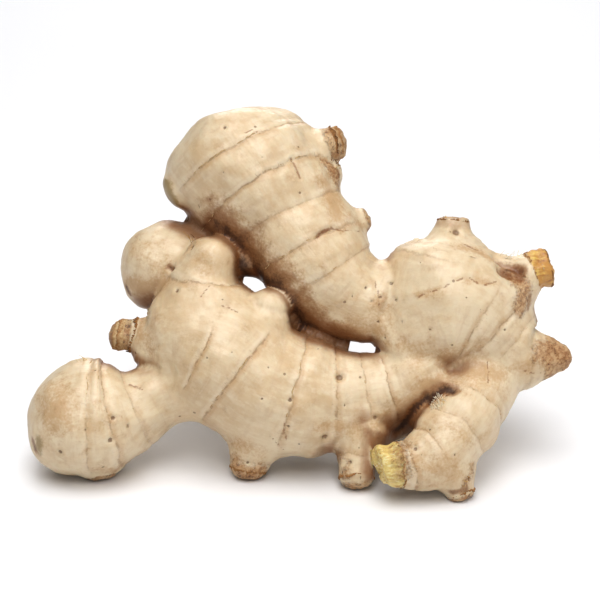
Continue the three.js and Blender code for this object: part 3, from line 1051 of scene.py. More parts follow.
def add_node(tree: bpy.types.NodeTree, kind: str, settings: dict, inputs: dict) -> bpy.types.Node:
    """Adds a node.

    Args:
        tree: the material's node tree.
        kind: the node's type.
        settings: its own settings, set first.
        inputs: values or links, by the socket's name, identifier or number.

    Returns:
        The new node.
    """
    made = tree.nodes.new(kind)
    for name, value in settings.items():
        setattr(made, name, value)
    for key, value in inputs.items():
        found = [s for s in made.inputs if key in (s.identifier, s.name) and s.enabled]
        socket = found[0] if found else made.inputs[key]
        if isinstance(value, Wire):
            tree.links.new(value.socket, socket)
        elif isinstance(value, bpy.types.NodeSocket):
            tree.links.new(value, socket)
        else:
            socket.default_value = value
    return made


def tint(red: int, green: int, blue: int) -> tuple[float, float, float, float]:
    """A colour given in 0 to 255 as it looks on a screen, in the linear values that shaders use."""

    def linear(value: float) -> float:
        """The linear value of a screen value from 0 to 1."""
        return value / 12.92 if value <= 0.04045 else ((value + 0.055) / 1.055) ** 2.4

    return (*(linear(value / 255) for value in (red, green, blue)), 1.0)


class Bench:
    """A material being made: its tree, and short ways to add what the finishes share."""

    def __init__(self, name: str) -> None:
        """Starts an empty material."""
        self.material = bpy.data.materials.new(name)
        self.material.use_nodes = True
        self.tree = self.material.node_tree
        self.tree.nodes.clear()

    def add(self, kind: str, settings: dict, inputs: dict) -> bpy.types.Node:
        """Adds a node to this material."""
        return add_node(self.tree, kind, settings, inputs)

    def place(self) -> bpy.types.NodeSocket:
        """The place on the piece, in mm."""
        place = self.add("ShaderNodeTexCoord", {}, {}).outputs["Object"]
        return self.stretched(place, (1 / MM, 1 / MM, 1 / MM))

    def value(self, name: str) -> Wire:
        """A number stored on the piece's vertices."""
        made = self.add("ShaderNodeAttribute", {"attribute_name": name}, {})
        return Wire(self.tree, made.outputs["Fac"])

    def vector(self, name: str) -> bpy.types.NodeSocket:
        """A vector stored on the piece's vertices."""
        return self.add("ShaderNodeAttribute", {"attribute_name": name}, {}).outputs["Vector"]

    def stretched(self, place: bpy.types.NodeSocket, scale: tuple) -> bpy.types.NodeSocket:
        """A place with each axis scaled."""
        made = self.add("ShaderNodeMapping", {}, {"Vector": place, "Scale": scale})
        return made.outputs["Vector"]

    def noise(self, place: bpy.types.NodeSocket, scale: float, detail: float = 3, rough: float = 0.5) -> Wire:
        """Noise from 0 to 1 with this many waves to the unit of place."""
        inputs = {"Vector": place, "Scale": scale, "Detail": detail, "Roughness": rough}
        return Wire(self.tree, self.add("ShaderNodeTexNoise", {}, inputs).outputs["Fac"])

    def cells(self, place: bpy.types.NodeSocket, scale: float) -> tuple[Wire, Wire]:
        """Distance to the nearest of many scattered points, and a number drawn for that point."""
        made = self.add("ShaderNodeTexVoronoi", {"feature": "F1"}, {"Vector": place, "Scale": scale})
        split = self.add("ShaderNodeSeparateColor", {}, {"Color": made.outputs["Color"]})
        return Wire(self.tree, made.outputs["Distance"]), Wire(self.tree, split.outputs[0])

    def mix(self, share: Wire, a: object, b: object, blend: str = "MIX") -> bpy.types.NodeSocket:
        """Colour a turning into colour b as share goes from 0 to 1."""
        made = self.add(
            "ShaderNodeMix",
            {"data_type": "RGBA", "blend_type": blend},
            {"Factor_Float": share, "A_Color": a, "B_Color": b},
        )
        return next(s for s in made.outputs if s.identifier == "Result_Color")

    def bump(self, height: Wire, depth: float) -> bpy.types.NodeSocket:
        """A normal with this height on it.

        Args:
            height: the relief, 1 for a full step.
            depth: height of a full step in metres.

        Returns:
            The new normal.
        """
        inputs = {"Height": height, "Distance": depth, "Strength": 1.0}
        return self.add("ShaderNodeBump", {}, inputs).outputs["Normal"]

    def finish(self, inputs: dict) -> bpy.types.Material:
        """Ends the material with a principled surface that has these inputs."""
        surface = self.add("ShaderNodeBsdfPrincipled", {"subsurface_method": "RANDOM_WALK"}, inputs)
        self.add("ShaderNodeOutputMaterial", {}, {"Surface": surface.outputs["BSDF"]})
        return self.material


class SkinBench(Bench):
    """The ginger skin being made: the patterns and the masks that its colours and its relief share."""

    def __init__(self) -> None:
        """Adds the patterns, and then the masks that they break up."""
        super().__init__("ginger_skin")
        self.patterns()
        self.scars()
        self.spots()
        self.ends()

    def follow(self, across: float, along: float, detail: float, rough: float) -> Wire:
        """Noise that follows each finger.

        Args:
            across: waves to the mm round it.
            along: waves to the mm along it.
            detail: how many finer layers it has.
            rough: how strong they are.

        Returns:
            The noise, from 0 to 1.
        """
        place = self.stretched(self.straight, (across, across, along))
        return self.noise(place, 1.0, detail, rough)

    def ragged(self, name: str, patch: float, fine: float) -> Wire:
        """An amount stored on the vertices, with its edge broken up.

        Args:
            name: the amount's name.
            patch: how much the patches break it up.
            fine: how much the fine noise does.

        Returns:
            The amount.
        """
        amount = self.value(name)
        for pattern, share in ((self.patch, patch), (self.fine, fine)):
            if share:
                amount = amount + (pattern - 0.5) * share
        return amount

    def patterns(self) -> None:
        """Noise over the whole hand, and noise that follows each finger."""
        self.spot = self.place()
        self.straight = self.vector("straight")
        self.alone = self.value("alone")
        self.wide = self.noise(self.spot, 0.06, 3, 0.55)
        self.patch = self.noise(self.spot, 0.22, 4, 0.6)
        self.fine = self.noise(self.spot, 1.6, 4, 0.6)
        self.crust = self.noise(self.spot, 0.9, 5, 0.75)
        self.grain = self.follow(1.5, 0.16, 3, 0.55)
        self.hoops = self.follow(0.1, 0.5, 4, 0.6)
        self.streak = self.follow(0.55, 0.12, 4, 0.6)
        self.flake = self.follow(0.5, 0.3, 5, 0.7)
        self.threads = self.follow(1.3, 0.3, 4, 0.65)
        self.wrinkles = self.follow(0.35, 2.4, 3, 0.6)

    def scars(self) -> None:
        """Leaf scars: their line, painted shade below it, a painted highlight above it and the dashes beside
        it.
        """
        ring, ring_on = self.value("ring"), self.value("ring_on")
        frayed = ring + (self.fine - 0.5) * 0.7
        broken = self.noise(self.spot, 0.5, 2, 0.5).step(0.36, 0.56)
        self.line = abs(frayed).step(0.36, 0.06) * ring_on * (broken * 0.85 + 0.15)
        # The shade and lit bands are painted shade and a painted highlight on either side of the scar.
        self.shade = (ring + 0.45).step(-1.1, 0.0) * (ring + 0.45).step(0.7, 0.1) * ring_on
        self.lit = (ring - 0.3).step(-0.1, 0.4) * (ring - 0.3).step(1.6, 0.7) * ring_on
        self.dashes = abs(ring).step(1.8, 0.5) * ring_on * self.follow(2.6, 0.5, 2, 0.5).step(0.6, 0.72)

    def spots(self) -> None:
        """Flecks, pits, cuts, stains, and the painted shade of the crevices, the folds and the marks."""
        gap, draw = self.cells(self.spot, 0.27)
        size = draw.step(0.62, 1.0) * 0.13
        self.flecks = (size - gap - (self.fine - 0.5) * 0.06).step(0.0, 0.04)
        self.pit = self.ragged("pit", 0, 0.35).step(0.45, 0.7)
        self.cut = self.ragged("line", 0, 0.7).step(0.42, 0.8)
        # Real stains, and broad patches of painted shade.
        self.stain = self.ragged("stain", 1.1, 0.9).step(0.3, 0.85)
        # Painted shade in the crevices: the more shut in the skin is, the more.
        self.deep = self.ragged("deep", 0.3, 0).step(0.15, 1.0)
        # Painted shade from the marks along crevices, under the fingers and round the feet.
        self.painted_shade = self.ragged("soil", 0.9, 0.25)
        # Painted shade along the folds between two fingers.
        self.fold = self.ragged("crease", 0.4, 0.5).step(0.5, 1.0)

    def ends(self) -> None:
        """Corky, rusty, olive and torn places."""
        self.olive = self.ragged("olive", 1.2, 0.5).step(0.3, 0.9)
        self.cork = self.ragged("cork", 0.9, 0.6).step(0.35, 0.8)
        self.rust = self.ragged("rust", 0.9, 0.8).step(0.3, 0.75)
        self.torn = self.ragged("torn", 0, 0.4).step(0.35, 0.65)
        self.golden = self.ragged("gold", 0.6, 0).step(0.25, 0.6)

    def rough(self) -> Wire:
        """How rough the skin is."""
        dry = self.cork.most(self.rust).most(self.stain * 0.6)
        return 0.44 + (self.fine - 0.5) * 0.2 + dry * 0.2

    def relief(self) -> Wire:
        """Height of the finest relief, 1 for a full step."""
        skin = self.fine * 0.4 + self.wrinkles * self.alone * 0.1 + self.grain * self.alone * 0.3
        sunk = self.line * 0.3 + self.pit * 0.5 + self.flecks * 0.4
        return skin - sunk + self.cork.most(self.rust) * self.crust * 2.0 + self.torn * self.threads * 1.2


@dataclass(frozen=True)
class GingerSkin:
    """The thin, dry, buff skin of a ginger root, with its leaf scars, specks and corky ends.

    Attributes:
        gloss, gloss_rough: weight and roughness of the waxy coat.
        shine: specular level of the skin under it.
        glow, glow_reach: how much light passes through the flesh, and how far in metres.
        glow_tint: how far red, green and blue light reach, as shares of that.
        grit: height of a full step of the finest relief, in metres.
    """

    cream: tuple = tint(232, 219, 196)
    pale: tuple = tint(223, 206, 177)
    warm: tuple = tint(211, 187, 152)
    dull: tuple = tint(197, 169, 135)
    scar: tuple = tint(150, 112, 74)
    cork_pale: tuple = tint(204, 172, 130)
    cork: tuple = tint(168, 120, 72)
    cork_dark: tuple = tint(100, 64, 38)
    olive: tuple = tint(150, 126, 78)
    torn_pale: tuple = tint(238, 226, 172)
    torn: tuple = tint(224, 200, 124)
    torn_deep: tuple = tint(178, 128, 66)
    gold_pale: tuple = tint(222, 190, 104)
    gold: tuple = tint(196, 144, 66)
    gold_deep: tuple = tint(156, 98, 46)
    # Colours of the painted shade in folds, crevices and under the fingers; the fold colour also draws the
    # cut lines.
    fold: tuple = tint(140, 88, 46)
    crevice_shade: tuple = tint(164, 112, 66)
    soil: tuple = tint(66, 34, 12)
    soft_shade: tuple = tint(146, 98, 54)
    tan: tuple = tint(186, 146, 98)
    fleck: tuple = tint(112, 76, 44)
    rust_pale: tuple = tint(208, 176, 136)
    rust: tuple = tint(170, 122, 74)
    gloss: float = 0.3
    gloss_rough: float = 0.36
    shine: float = 0.5
    glow: float = 0.14
    glow_reach: float = 0.0022
    glow_tint: tuple = (1.0, 0.55, 0.3)
    grit: float = 0.00022

    def clean(self, bench: SkinBench) -> bpy.types.NodeSocket:
        """The bare skin: buff, streaked along the finger, hooped round it and flaked."""
        mottle = bench.wide * 0.4 + bench.patch * 0.3 + bench.streak * 0.3
        colour = bench.mix(mottle.step(0.4, 0.6), self.pale, self.warm)
        colour = bench.mix(bench.hoops.step(0.48, 0.7) * bench.alone * 0.35, colour, self.dull)
        colour = bench.mix(bench.grain.step(0.55, 0.8) * bench.alone * 0.3, colour, self.warm)
        return bench.mix(bench.flake.step(0.5, 0.62) * bench.alone * 0.24, colour, self.cream)

    def marked(self, bench: SkinBench, colour: bpy.types.NodeSocket) -> bpy.types.NodeSocket:
        """The skin with its stains and broad painted shade, its leaf scars with painted shade and highlight,
        and its flecks.
        """
        layers = (
            # The stain layer is real stains and broad painted shade; the shade and lit layers are painted
            # shade and a painted highlight beside the scars.
            (bench.stain * 0.55, self.tan), (bench.shade * 0.4, self.tan),
            (bench.lit * 0.35, self.cream), (bench.line * 0.55, self.scar),
            (bench.dashes * 0.35, self.scar), (bench.flecks * 0.6, self.fleck),
        )
        for share, layer in layers:
            colour = bench.mix(share, colour, layer)
        return colour

    def painted_shade(self, bench: SkinBench, colour: bpy.types.NodeSocket) -> bpy.types.NodeSocket:
        """The skin with painted shade: in the crevices, along the folds and where the marks put it."""
        # Painted shade in the crevices, darker the more shut in the skin is.
        colour = bench.mix(bench.deep * 0.75, colour, self.crevice_shade, "MULTIPLY")
        # Painted shade from the marks: a soft brown tone, then a dark core.
        colour = bench.mix(bench.painted_shade.step(0.05, 0.5) * 0.75, colour, self.soft_shade)
        shade_core = (bench.painted_shade + (bench.fine - 0.5) * 0.4).step(0.4, 0.9)
        colour = bench.mix(shade_core * 0.9, colour, self.soil)
        # Painted shade along the folds between two fingers.
        return bench.mix(bench.fold * 0.6, colour, self.fold)

    def corky(self, bench: SkinBench) -> bpy.types.NodeSocket:
        """Cork, as on the ends of the feet."""
        blotch = bench.noise(bench.spot, 0.5, 4, 0.7).step(0.42, 0.58)
        colour = bench.mix(blotch, self.cork_pale, self.cork)
        return bench.mix(bench.crust.step(0.52, 0.64), colour, self.cork_dark)

    def rusty(self, bench: SkinBench) -> bpy.types.NodeSocket:
        """The thin brown crust of a healed graze."""
        colour = bench.mix(bench.crust.step(0.38, 0.56), self.rust_pale, self.rust)
        return bench.mix(bench.crust.step(0.54, 0.66), colour, self.cork_dark)

    def flesh(self, bench: SkinBench) -> bpy.types.NodeSocket:
        """Torn flesh: pale yellow where the break is fresh, gold where it is old."""
        threads = bench.threads
        fresh = bench.mix(threads.step(0.36, 0.52), self.torn_pale, self.torn)
        fresh = bench.mix(threads.step(0.54, 0.68), fresh, self.torn_deep)
        old = bench.mix((threads * 0.5 + bench.patch * 0.5).step(0.4, 0.5), self.gold_pale, self.gold)
        old = bench.mix(threads.step(0.55, 0.7), old, self.gold_deep)
        return bench.mix(bench.golden, fresh, old)

    def make(self) -> bpy.types.Material:
        """Builds the material."""
        bench = SkinBench()
        colour = self.painted_shade(bench, self.marked(bench, self.clean(bench)))
        layers = (
            (bench.olive * 0.8, self.olive), (bench.cork * 0.85, self.corky(bench)),
            (bench.torn * 0.9, self.flesh(bench)), (bench.rust * 0.8, self.rusty(bench)),
            (bench.cut * 0.65, self.fold), (bench.pit * 0.7, self.fleck),
        )
        for share, layer in layers:
            colour = bench.mix(share, colour, layer)
        return bench.finish(
            {
                "Base Color": colour,
                "Roughness": bench.rough(),
                "Normal": bench.bump(bench.relief(), self.grit),
                "Subsurface Weight": self.glow,
                "Subsurface Radius": self.glow_tint,
                "Subsurface Scale": self.glow_reach,
                "Specular IOR Level": self.shine,
                "Coat Weight": self.gloss,
                "Coat Roughness": self.gloss_rough,
            }
        )


@dataclass(frozen=True)
class DeadLeaf:
    """The dry, papery remains of scale leaves.

    Attributes:
        rough, shine: roughness and specular level.
        grit: height of its finest relief, in metres.
    """

    straw: tuple = tint(214, 190, 150)
    brown: tuple = tint(160, 118, 74)
    black: tuple = tint(70, 44, 26)
    rough: float = 0.7
    shine: float = 0.3
    grit: float = 0.0002

    def make(self) -> bpy.types.Material:
        """Builds the material."""
        bench = Bench("dead_leaf")
        fine = bench.noise(bench.place(), 1.4, 4, 0.65)
        dark, rise = bench.value("dark"), bench.value("rise")
        depth = dark + (fine - 0.5) * 0.9 + (rise - 0.5) * 0.35
        colour = bench.mix(depth.step(0.1, 0.6), self.straw, self.brown)
        colour = bench.mix(depth.step(0.6, 1.1), colour, self.black)
        normal = bench.bump(fine, self.grit)
        inputs = {"Base Color": colour, "Roughness": self.rough, "Normal": normal}
        return bench.finish({**inputs, "Specular IOR Level": self.shine})


@dataclass(frozen=True)
class Thread:
    """The threads of torn ginger flesh and of dead leaf."""

    pale: tuple = tint(234, 226, 206)
    gold: tuple = tint(218, 182, 100)
    brown: tuple = tint(128, 82, 42)
    black: tuple = tint(60, 38, 24)
    rough: float = 0.6
    shine: float = 0.3

    def make(self) -> bpy.types.Material:
        """Builds the material."""
        bench = Bench("thread")
        dark = bench.value("dark")
        colour = bench.mix(dark.step(0.05, 0.4), self.pale, self.gold)
        colour = bench.mix(dark.step(0.4, 0.75), colour, self.brown)
        colour = bench.mix(dark.step(0.75, 1.0), colour, self.black)
        return bench.finish({"Base Color": colour, "Roughness": self.rough, "Specular IOR Level": self.shine})


@dataclass(frozen=True)
class TableTop:
    """A plain, matt white table."""

    white: tuple = (0.86, 0.86, 0.875, 1.0)
    rough: float = 0.75
    shine: float = 0.1

    def make(self) -> bpy.types.Material:
        """Builds the material."""
        inputs = {"Base Color": self.white, "Roughness": self.rough, "Specular IOR Level": self.shine}
        return Bench("table_top").finish(inputs)


@dataclass
class Studio:
    """The table, the soft lights and the camera.

    Attributes:
        looks_at: what the camera looks at, in metres.
        elevation: how far the camera looks down, in degrees.
        distance: how far the camera stands off, in metres.
        lens: focal length in mm.
        sensor: width of the camera's sensor, in mm.
        table_size: width of the table in metres.
        sky: strength of the white room.
        gamma: how the picture is brightened.
        boxes: the lights, as (name, degrees to the right of the front, degrees up, watts).
        box_size: width of each light in metres.
        box_distance: how far each hangs from what the camera looks at, in metres.
    """

    looks_at: tuple = (-0.00016, -0.00421, 0.04029)
    elevation: float = 22.0
    distance: float = 0.5
    lens: float = 120.0
    sensor: float = 36.0
    table_size: float = 8.0
    sky: float = 0.12
    gamma: float = 0.82
    boxes: tuple = (
        ("top", 0, 88, 3.5), ("front", 0, 60, 4.0), ("low_front", 0, 30, 1.1),
        ("left", -80, 60, 1.1), ("right", 80, 30, 2.0), ("behind", 180, 30, 2.9),
    )
    box_size: float = 0.5
    box_distance: float = 0.9

    def eye(self) -> Vector:
        """Where the camera stands."""
        down = math.radians(self.elevation)
        away = Vector((0, -math.cos(down), math.sin(down))) * self.distance
        return Vector(self.looks_at) + away

    def in_view(self, across: float, up: float) -> Vector:
        """The point of the plane through the view's middle that is seen at a place of the plan, in mm."""
        back = to_plan(np.array([self.looks_at]))[0, 1]
        return Vector(from_plan(np.array([(across, back, up)]))[0])

    def camera(self) -> None:
        """Sets up the camera."""
        data = bpy.data.cameras.new("camera")
        data.lens, data.sensor_width = self.lens, self.sensor
        data.clip_start, data.clip_end = 0.01, 50
        camera = bpy.data.objects.new("camera", data)
        camera.location = self.eye()
        camera.rotation_euler = (math.radians(90 - self.elevation), 0, 0)
        bpy.context.scene.collection.objects.link(camera)
        bpy.context.scene.camera = camera

    def softbox(self, name: str, turn: float, rise: float, watts: float) -> None:
        """Adds a square light that faces the hand.

        Args:
            name: its name.
            turn: where it hangs, as degrees to the right of the front.
            rise: its height, in degrees.
            watts: its power.
        """
        data = bpy.data.lights.new(name, "AREA")
        data.shape, data.size, data.energy = "SQUARE", self.box_size, watts
        light = bpy.data.objects.new(name, data)
        side, up = math.radians(turn), math.radians(rise)
        away = Vector((math.sin(side) * math.cos(up), -math.cos(side) * math.cos(up), math.sin(up)))
        light.location = Vector(self.looks_at) + away * self.box_distance
        light.rotation_euler = (-away).to_track_quat("-Z", "Y").to_euler()
        bpy.context.scene.collection.objects.link(light)

    def lights(self) -> None:
        """Hangs the lights, and makes the room white."""
        world = bpy.data.worlds.new("room")
        world.use_nodes = True
        walls = world.node_tree.nodes["Background"].inputs
        walls["Color"].default_value = (1, 1, 1, 1)
        walls["Strength"].default_value = self.sky
        bpy.context.scene.world = world
        for box in self.boxes:
            self.softbox(*box)
        view = bpy.context.scene.view_settings
        view.view_transform, view.gamma = "Standard", self.gamma

    def table(self) -> None:
        """Lays the table top."""
        deselect()
        bpy.ops.mesh.primitive_plane_add(size=self.table_size, location=(0, 0, 0))
        top = bpy.context.active_object
        top.name = "table_top"
        top.data.materials.append(TableTop().make())

    def build(self) -> None:
        """Sets up everything."""
        self.camera()
        self.lights()
        self.table()


@dataclass
class Hand:
    """The whole rhizome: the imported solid's form with a finer skin.

    Attributes:
        studio: where the hand is seen from, for the marks on its front.
        voxel: edge of the finer mesh in mm.
        passes: how often the vertices are settled on the skin.
        step: the farthest that a vertex moves to the skin in one pass, in mm.
        slide: how far it then slides towards the middle of its neighbours, as a share of the way.
        lumps, dents: height of the small and of the broader unevenness in mm.
        groove, groove_width: depth and half the width of a leaf scar's groove in mm.
        lip, lip_width, lip_place: height and half the width of the lip past it, and how far past, in mm.
        bulge: height of the flesh between two leaf scars in mm.
        fray: how far a leaf scar strays to and fro, in mm.
        scar_reach: how far from a leaf scar its distance is known, in mm.
        scar_fade: from where to where its strength fades, in mm.
        corky, torn: height of the unevenness of corky and of torn ends in mm.
        fold: depth of the fold between two fingers in mm.
        hidden: how many pits the sides have that the front doesn't show.
    """

    studio: Studio
    voxel: float = 0.65
    quick_voxel: float = 0.8
    passes: int = 6
    step: float = 1.5
    slide: float = 0.6
    lumps: float = 0.25
    dents: float = 0.6
    groove: float = 0.22
    groove_width: float = 0.55
    lip: float = 0.24
    lip_width: float = 0.9
    lip_place: float = 1.0
    bulge: float = 0.65
    fray: float = 0.55
    scar_reach: float = 6.0
    scar_fade: tuple = (1.7, 2.4)
    corky: float = 0.3
    torn: float = 0.8
    fold: float = 0.3
    hidden: int = 70

    def __post_init__(self) -> None:
        """Makes the flesh that the skin is measured against."""
        self.flesh = Flesh(FINGERS)
        self.grain = Grain(SEED)

    def raw(self) -> bpy.types.Object:
        """A fine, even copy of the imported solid."""
        deselect()
        piece = frame["nodes"]["rhizome"].copy()
        piece.data = piece.data.copy()
        piece.name = piece.data.name = "ginger_skin"
        for key in list(piece.keys()):
            del piece[key]
        piece.parent = None
        bpy.context.scene.collection.objects.link(piece)
        pick(piece)
        bpy.ops.object.mode_set(mode="EDIT")
        bpy.ops.mesh.select_all(action="SELECT")
        bpy.ops.mesh.remove_doubles(threshold=MERGE)
        bpy.ops.object.mode_set(mode="OBJECT")
        rod = self.flesh.slit.cutter()
        pick(piece)
        apply(piece, "BOOLEAN", {"operation": "DIFFERENCE", "object": rod})
        bpy.data.objects.remove(rod)
        voxel = self.voxel
        apply(piece, "REMESH", {"mode": "VOXEL", "voxel_size": voxel * MM})
        piece.data.materials.clear()
        return piece

    def settle(self, mesh: bpy.types.Mesh) -> np.ndarray:
        """Settles the vertices evenly on the round skin of the flesh.

        Args:
            mesh: the fine mesh.

        Returns:
            Their places in the plan, in mm.
        """
        ties = Ties(mesh)
        points = to_plan(positions(mesh))
        for _ in range(self.passes):
            points, uphill = self.onto_skin(points)
            drift = ties.mean(points) - points
            drift -= uphill * dots(drift, uphill)[:, None]
            points = self.on_table(points + self.slide * drift)
        return self.on_table(self.onto_skin(points)[0])

    def onto_skin(self, points: np.ndarray) -> tuple[np.ndarray, np.ndarray]:
        """Points of the plan moved up to one step towards the skin, and the way out of the skin there."""
        skin = self.flesh.skin(points)
        return points - skin.uphill * np.clip(skin.gap, -self.step, self.step)[:, None], skin.uphill

    def on_table(self, points: np.ndarray) -> np.ndarray:
        """Points of the plan with those below the table lifted onto it."""
        world = from_plan(points)
        world[:, 2] = np.maximum(world[:, 2], 0)
        return to_plan(world)

    def stray(self, points: np.ndarray) -> np.ndarray:
        """How far a leaf scar strays along the finger at each point of the plan, in mm."""
        return self.fray * self.grain.layered(points + 5.5, 5.0, 3)

    def scars(self, skin: Skin, points: np.ndarray) -> tuple[np.ndarray, np.ndarray, np.ndarray]:
        """The leaf scars near each vertex.

        Args:
            skin: the skin at the vertices.
            points: their places in the plan.

        Returns:
            Distance past the nearest scar in mm, its strength, and the relief in mm.
        """
        stray = self.stray(points)
        distance = np.full(len(points), self.scar_reach)
        strength = np.zeros(len(points))
        relief = np.zeros(len(points))
        for i, spine in enumerate(self.flesh.spines):
            mine = skin.owner == i
            station = (skin.station + stray)[mine]
            nearest, force, height = distance[mine], strength[mine], relief[mine]
            rings = sorted(spine.finger.rings)
            for ring, weight in rings:
                past = station - ring
                closer = np.abs(past) < np.abs(nearest)
                nearest, force = np.where(closer, past, nearest), np.where(closer, weight, force)
                groove = np.exp(-((past / self.groove_width) ** 2))
                lip = np.exp(-(((past - self.lip_place) / self.lip_width) ** 2))
                height = height + weight * (self.lip * lip - self.groove * groove)
            for (start, _), (stop, _) in zip(rings, rings[1:]):
                share = np.clip((station - start) / (stop - start), 0, 1)
                height = height + self.bulge * np.sin(np.pi * share) ** 1.5 * skin.clear[mine]
            distance[mine], strength[mine], relief[mine] = nearest, force, height
        thin = np.array([min(1, spine.tip / 6) for spine in self.flesh.spines])[skin.owner]
        near = 1 - smooth(*self.scar_fade, np.abs(distance))
        return distance, strength * skin.alone * near, relief * skin.alone * np.maximum(thin, 0.5)

    def depth(self, points: np.ndarray, skin: Skin) -> np.ndarray:
        """How much the flesh round each vertex shuts it in: 0 in the open, 1 deep in a crevice."""
        shut = np.zeros(len(points))
        for reach in (3.0, 7.0):
            room = self.flesh.skin(points + skin.uphill * reach).gap / reach
            shut = np.maximum(shut, 1 - np.clip(room, 0, 1))
        return shut

    def on_skin(self, across: float, up: float) -> np.ndarray | None:
        """The point of the skin seen at a place from the front, in the plan; None if the ray misses."""
        eye = self.studio.eye()
        aim = self.studio.in_view(across, up) - eye
        hit = self.tree.ray_cast(eye, aim)[0]
        return None if hit is None else to_plan(np.array([hit]))[0]

    def nearest(self, points: np.ndarray) -> tuple[np.ndarray, np.ndarray]:
        """The skin's nearest point to each point of the plan, and the way out of the skin there."""
        found = [self.tree.find_nearest(Vector(point)) for point in from_plan(points)]
        places = to_plan(np.array([hit[0] for hit in found]))
        ahead = to_plan(np.array([hit[0] + hit[1] * MM for hit in found]))
        return places, ahead - places

    def ring_places(
        self, index: int, station: float, turns: int
    ) -> tuple[np.ndarray, np.ndarray, np.ndarray]:
        """Points of the skin round a finger, along the line that a leaf scar takes.

        Args:
            index: the finger's number.
            station: where the line is along the finger, in mm.
            turns: how many points there are.

        Returns:
            The points, the direction along the finger at each, and how far the finger's own skin is
            clear of the others there, from 0 to 1.
        """
        spine = self.flesh.spines[index]
        angles = np.arange(turns) / turns * 2 * math.pi
        stations = np.full(turns, station)
        for _ in range(3):
            middles = np.array([spine.place(s, a, 0) for s, a in zip(stations, angles)])
            outer = np.array([spine.place(s, a, 1) for s, a in zip(stations, angles)])
            points = []
            for start, stop in zip(from_plan(middles), from_plan(outer)):
                hit = self.tree.ray_cast(Vector(start), Vector(stop - start))[0]
                points.append(stop if hit is None else hit)
            points = to_plan(np.array(points))
            stations += np.clip(station - spine.read(points).station - self.stray(points), -2, 2)
        skin = self.flesh.skin(points)
        i = np.clip(np.searchsorted(spine.stations, stations) - 1, 0, len(spine.steps) - 1)
        return points, spine.along[i], (skin.owner == index) * skin.clear

    def near_route(self, points: np.ndarray, route: list[np.ndarray]) -> np.ndarray:
        """Distance in mm from each point to a line through the route's points."""
        nearest = np.full(len(points), FAR)
        for start, stop in zip(route, route[1:] or route):
            step = stop - start
            share = np.clip((points - start) @ step / max(step @ step, TINY), 0, 1)
            nearest = np.minimum(nearest, np.linalg.norm(points - start - share[:, None] * step, axis=1))
        return nearest

    def hidden_pits(self, points: np.ndarray, skin: Skin) -> list[tuple[np.ndarray, float]]:
        """Places and widths of pits on the sides that the front doesn't show."""
        draw = np.random.default_rng(SEED)
        away = np.flatnonzero((skin.uphill[:, 1] > 0.15) & (skin.alone > 0.5))
        chosen = draw.choice(away, self.hidden, replace=False)
        return [(points[i], width) for i, width in zip(chosen, draw.uniform(0.3, 0.85, self.hidden))]

    def blemishes(self, points: np.ndarray, skin: Skin) -> tuple[dict[Blemish, np.ndarray], np.ndarray]:
        """Spreads the marks over the vertices.

        Args:
            points: the vertices' places in the plan.
            skin: the skin there.

        Returns:
            The amount of each kind at each vertex, and the relief in mm.
        """
        amounts = {kind: np.zeros(len(points)) for kind in Blemish}
        relief = np.zeros(len(points))
        pits = marks_of(Blemish.PIT, *((((across, up),), width, 0.9 * width) for across, up, width in PITS))
        placed = []
        for item in (*MARKS, *pits):
            route = [self.on_skin(across, up) for across, up in item.route]
            if all(point is not None for point in route):
                placed.append((item, route))
        for point, width in self.hidden_pits(points, skin):
            placed.append((Mark(Blemish.PIT, (), width, 0.9 * width), [point]))
        for item, route in placed:
            away = self.near_route(points, route) / item.width
            amount = item.strength * np.clip(1 - away / 2, 0, 1)
            if item.finger:
                amount *= skin.owner == self.flesh.names.index(item.finger)
            amounts[item.kind] = np.maximum(amounts[item.kind], amount)
            relief -= item.depth * np.exp(-((away / 1.1) ** 2))
            if item.kind is Blemish.PIT:
                relief += 0.25 * item.width * np.exp(-(((away - 2.1) / 0.8) ** 2))
        return amounts, relief

    def ends(self, skin: Skin, end: End) -> np.ndarray:
        """How far each vertex is into an end of this kind, from 0 to 1."""
        amount = np.zeros(len(skin.owner))
        for i, spine in enumerate(self.flesh.spines):
            if spine.finger.end is end:
                mine = skin.owner == i
                start = spine.reach() - spine.finger.end_length
                amount[mine] = smooth(start - 1.2, start + 1.2, skin.station[mine])
        return amount

    def dress(self, mesh: bpy.types.Mesh, points: np.ndarray) -> np.ndarray:
        """Raises the fine relief and stores what the material needs.

        Args:
            mesh: the fine mesh.
            points: its vertices' places in the plan.

        Returns:
            The raised places.
        """
        skin = self.flesh.skin(points)
        ring, ring_on, relief = self.scars(skin, points)
        cork, torn, olive = (self.ends(skin, end) for end in (End.CORKY, End.TORN, End.OLIVE))
        small = self.lumps * self.grain.layered(points, 6.0, 3)
        broad = self.dents * skin.clear * self.grain.layered(points + 71, 11.0, 2)
        rough = self.corky * cork * self.grain.layered(points + 31, 1.9, 2)
        rough += self.torn * torn * self.grain.layered(points + 47, 3.0, 2)
        deep = self.depth(points, skin)
        amounts, sunk = self.blemishes(points, skin)
        amounts[Blemish.OLIVE] = np.maximum(amounts[Blemish.OLIVE], olive)
        stored = {
            "ring": np.clip(ring, -self.scar_reach, self.scar_reach),
            "ring_on": ring_on,
            "alone": skin.alone,
            # The crease and the depth set where the material paints shade into the folds and the crevices.
            "crease": skin.crease * smooth(0.25, 0.75, deep),
            "deep": deep,
            "straight": skin.straight,
            "cork": cork,
            "torn": torn,
        }
        stored.update({kind.value: amount for kind, amount in amounts.items()})
        for name, values in stored.items():
            mark(mesh, name, values)
        height = relief + small + broad + rough + sunk - self.fold * skin.crease
        return self.on_table(points + skin.uphill * height[:, None])

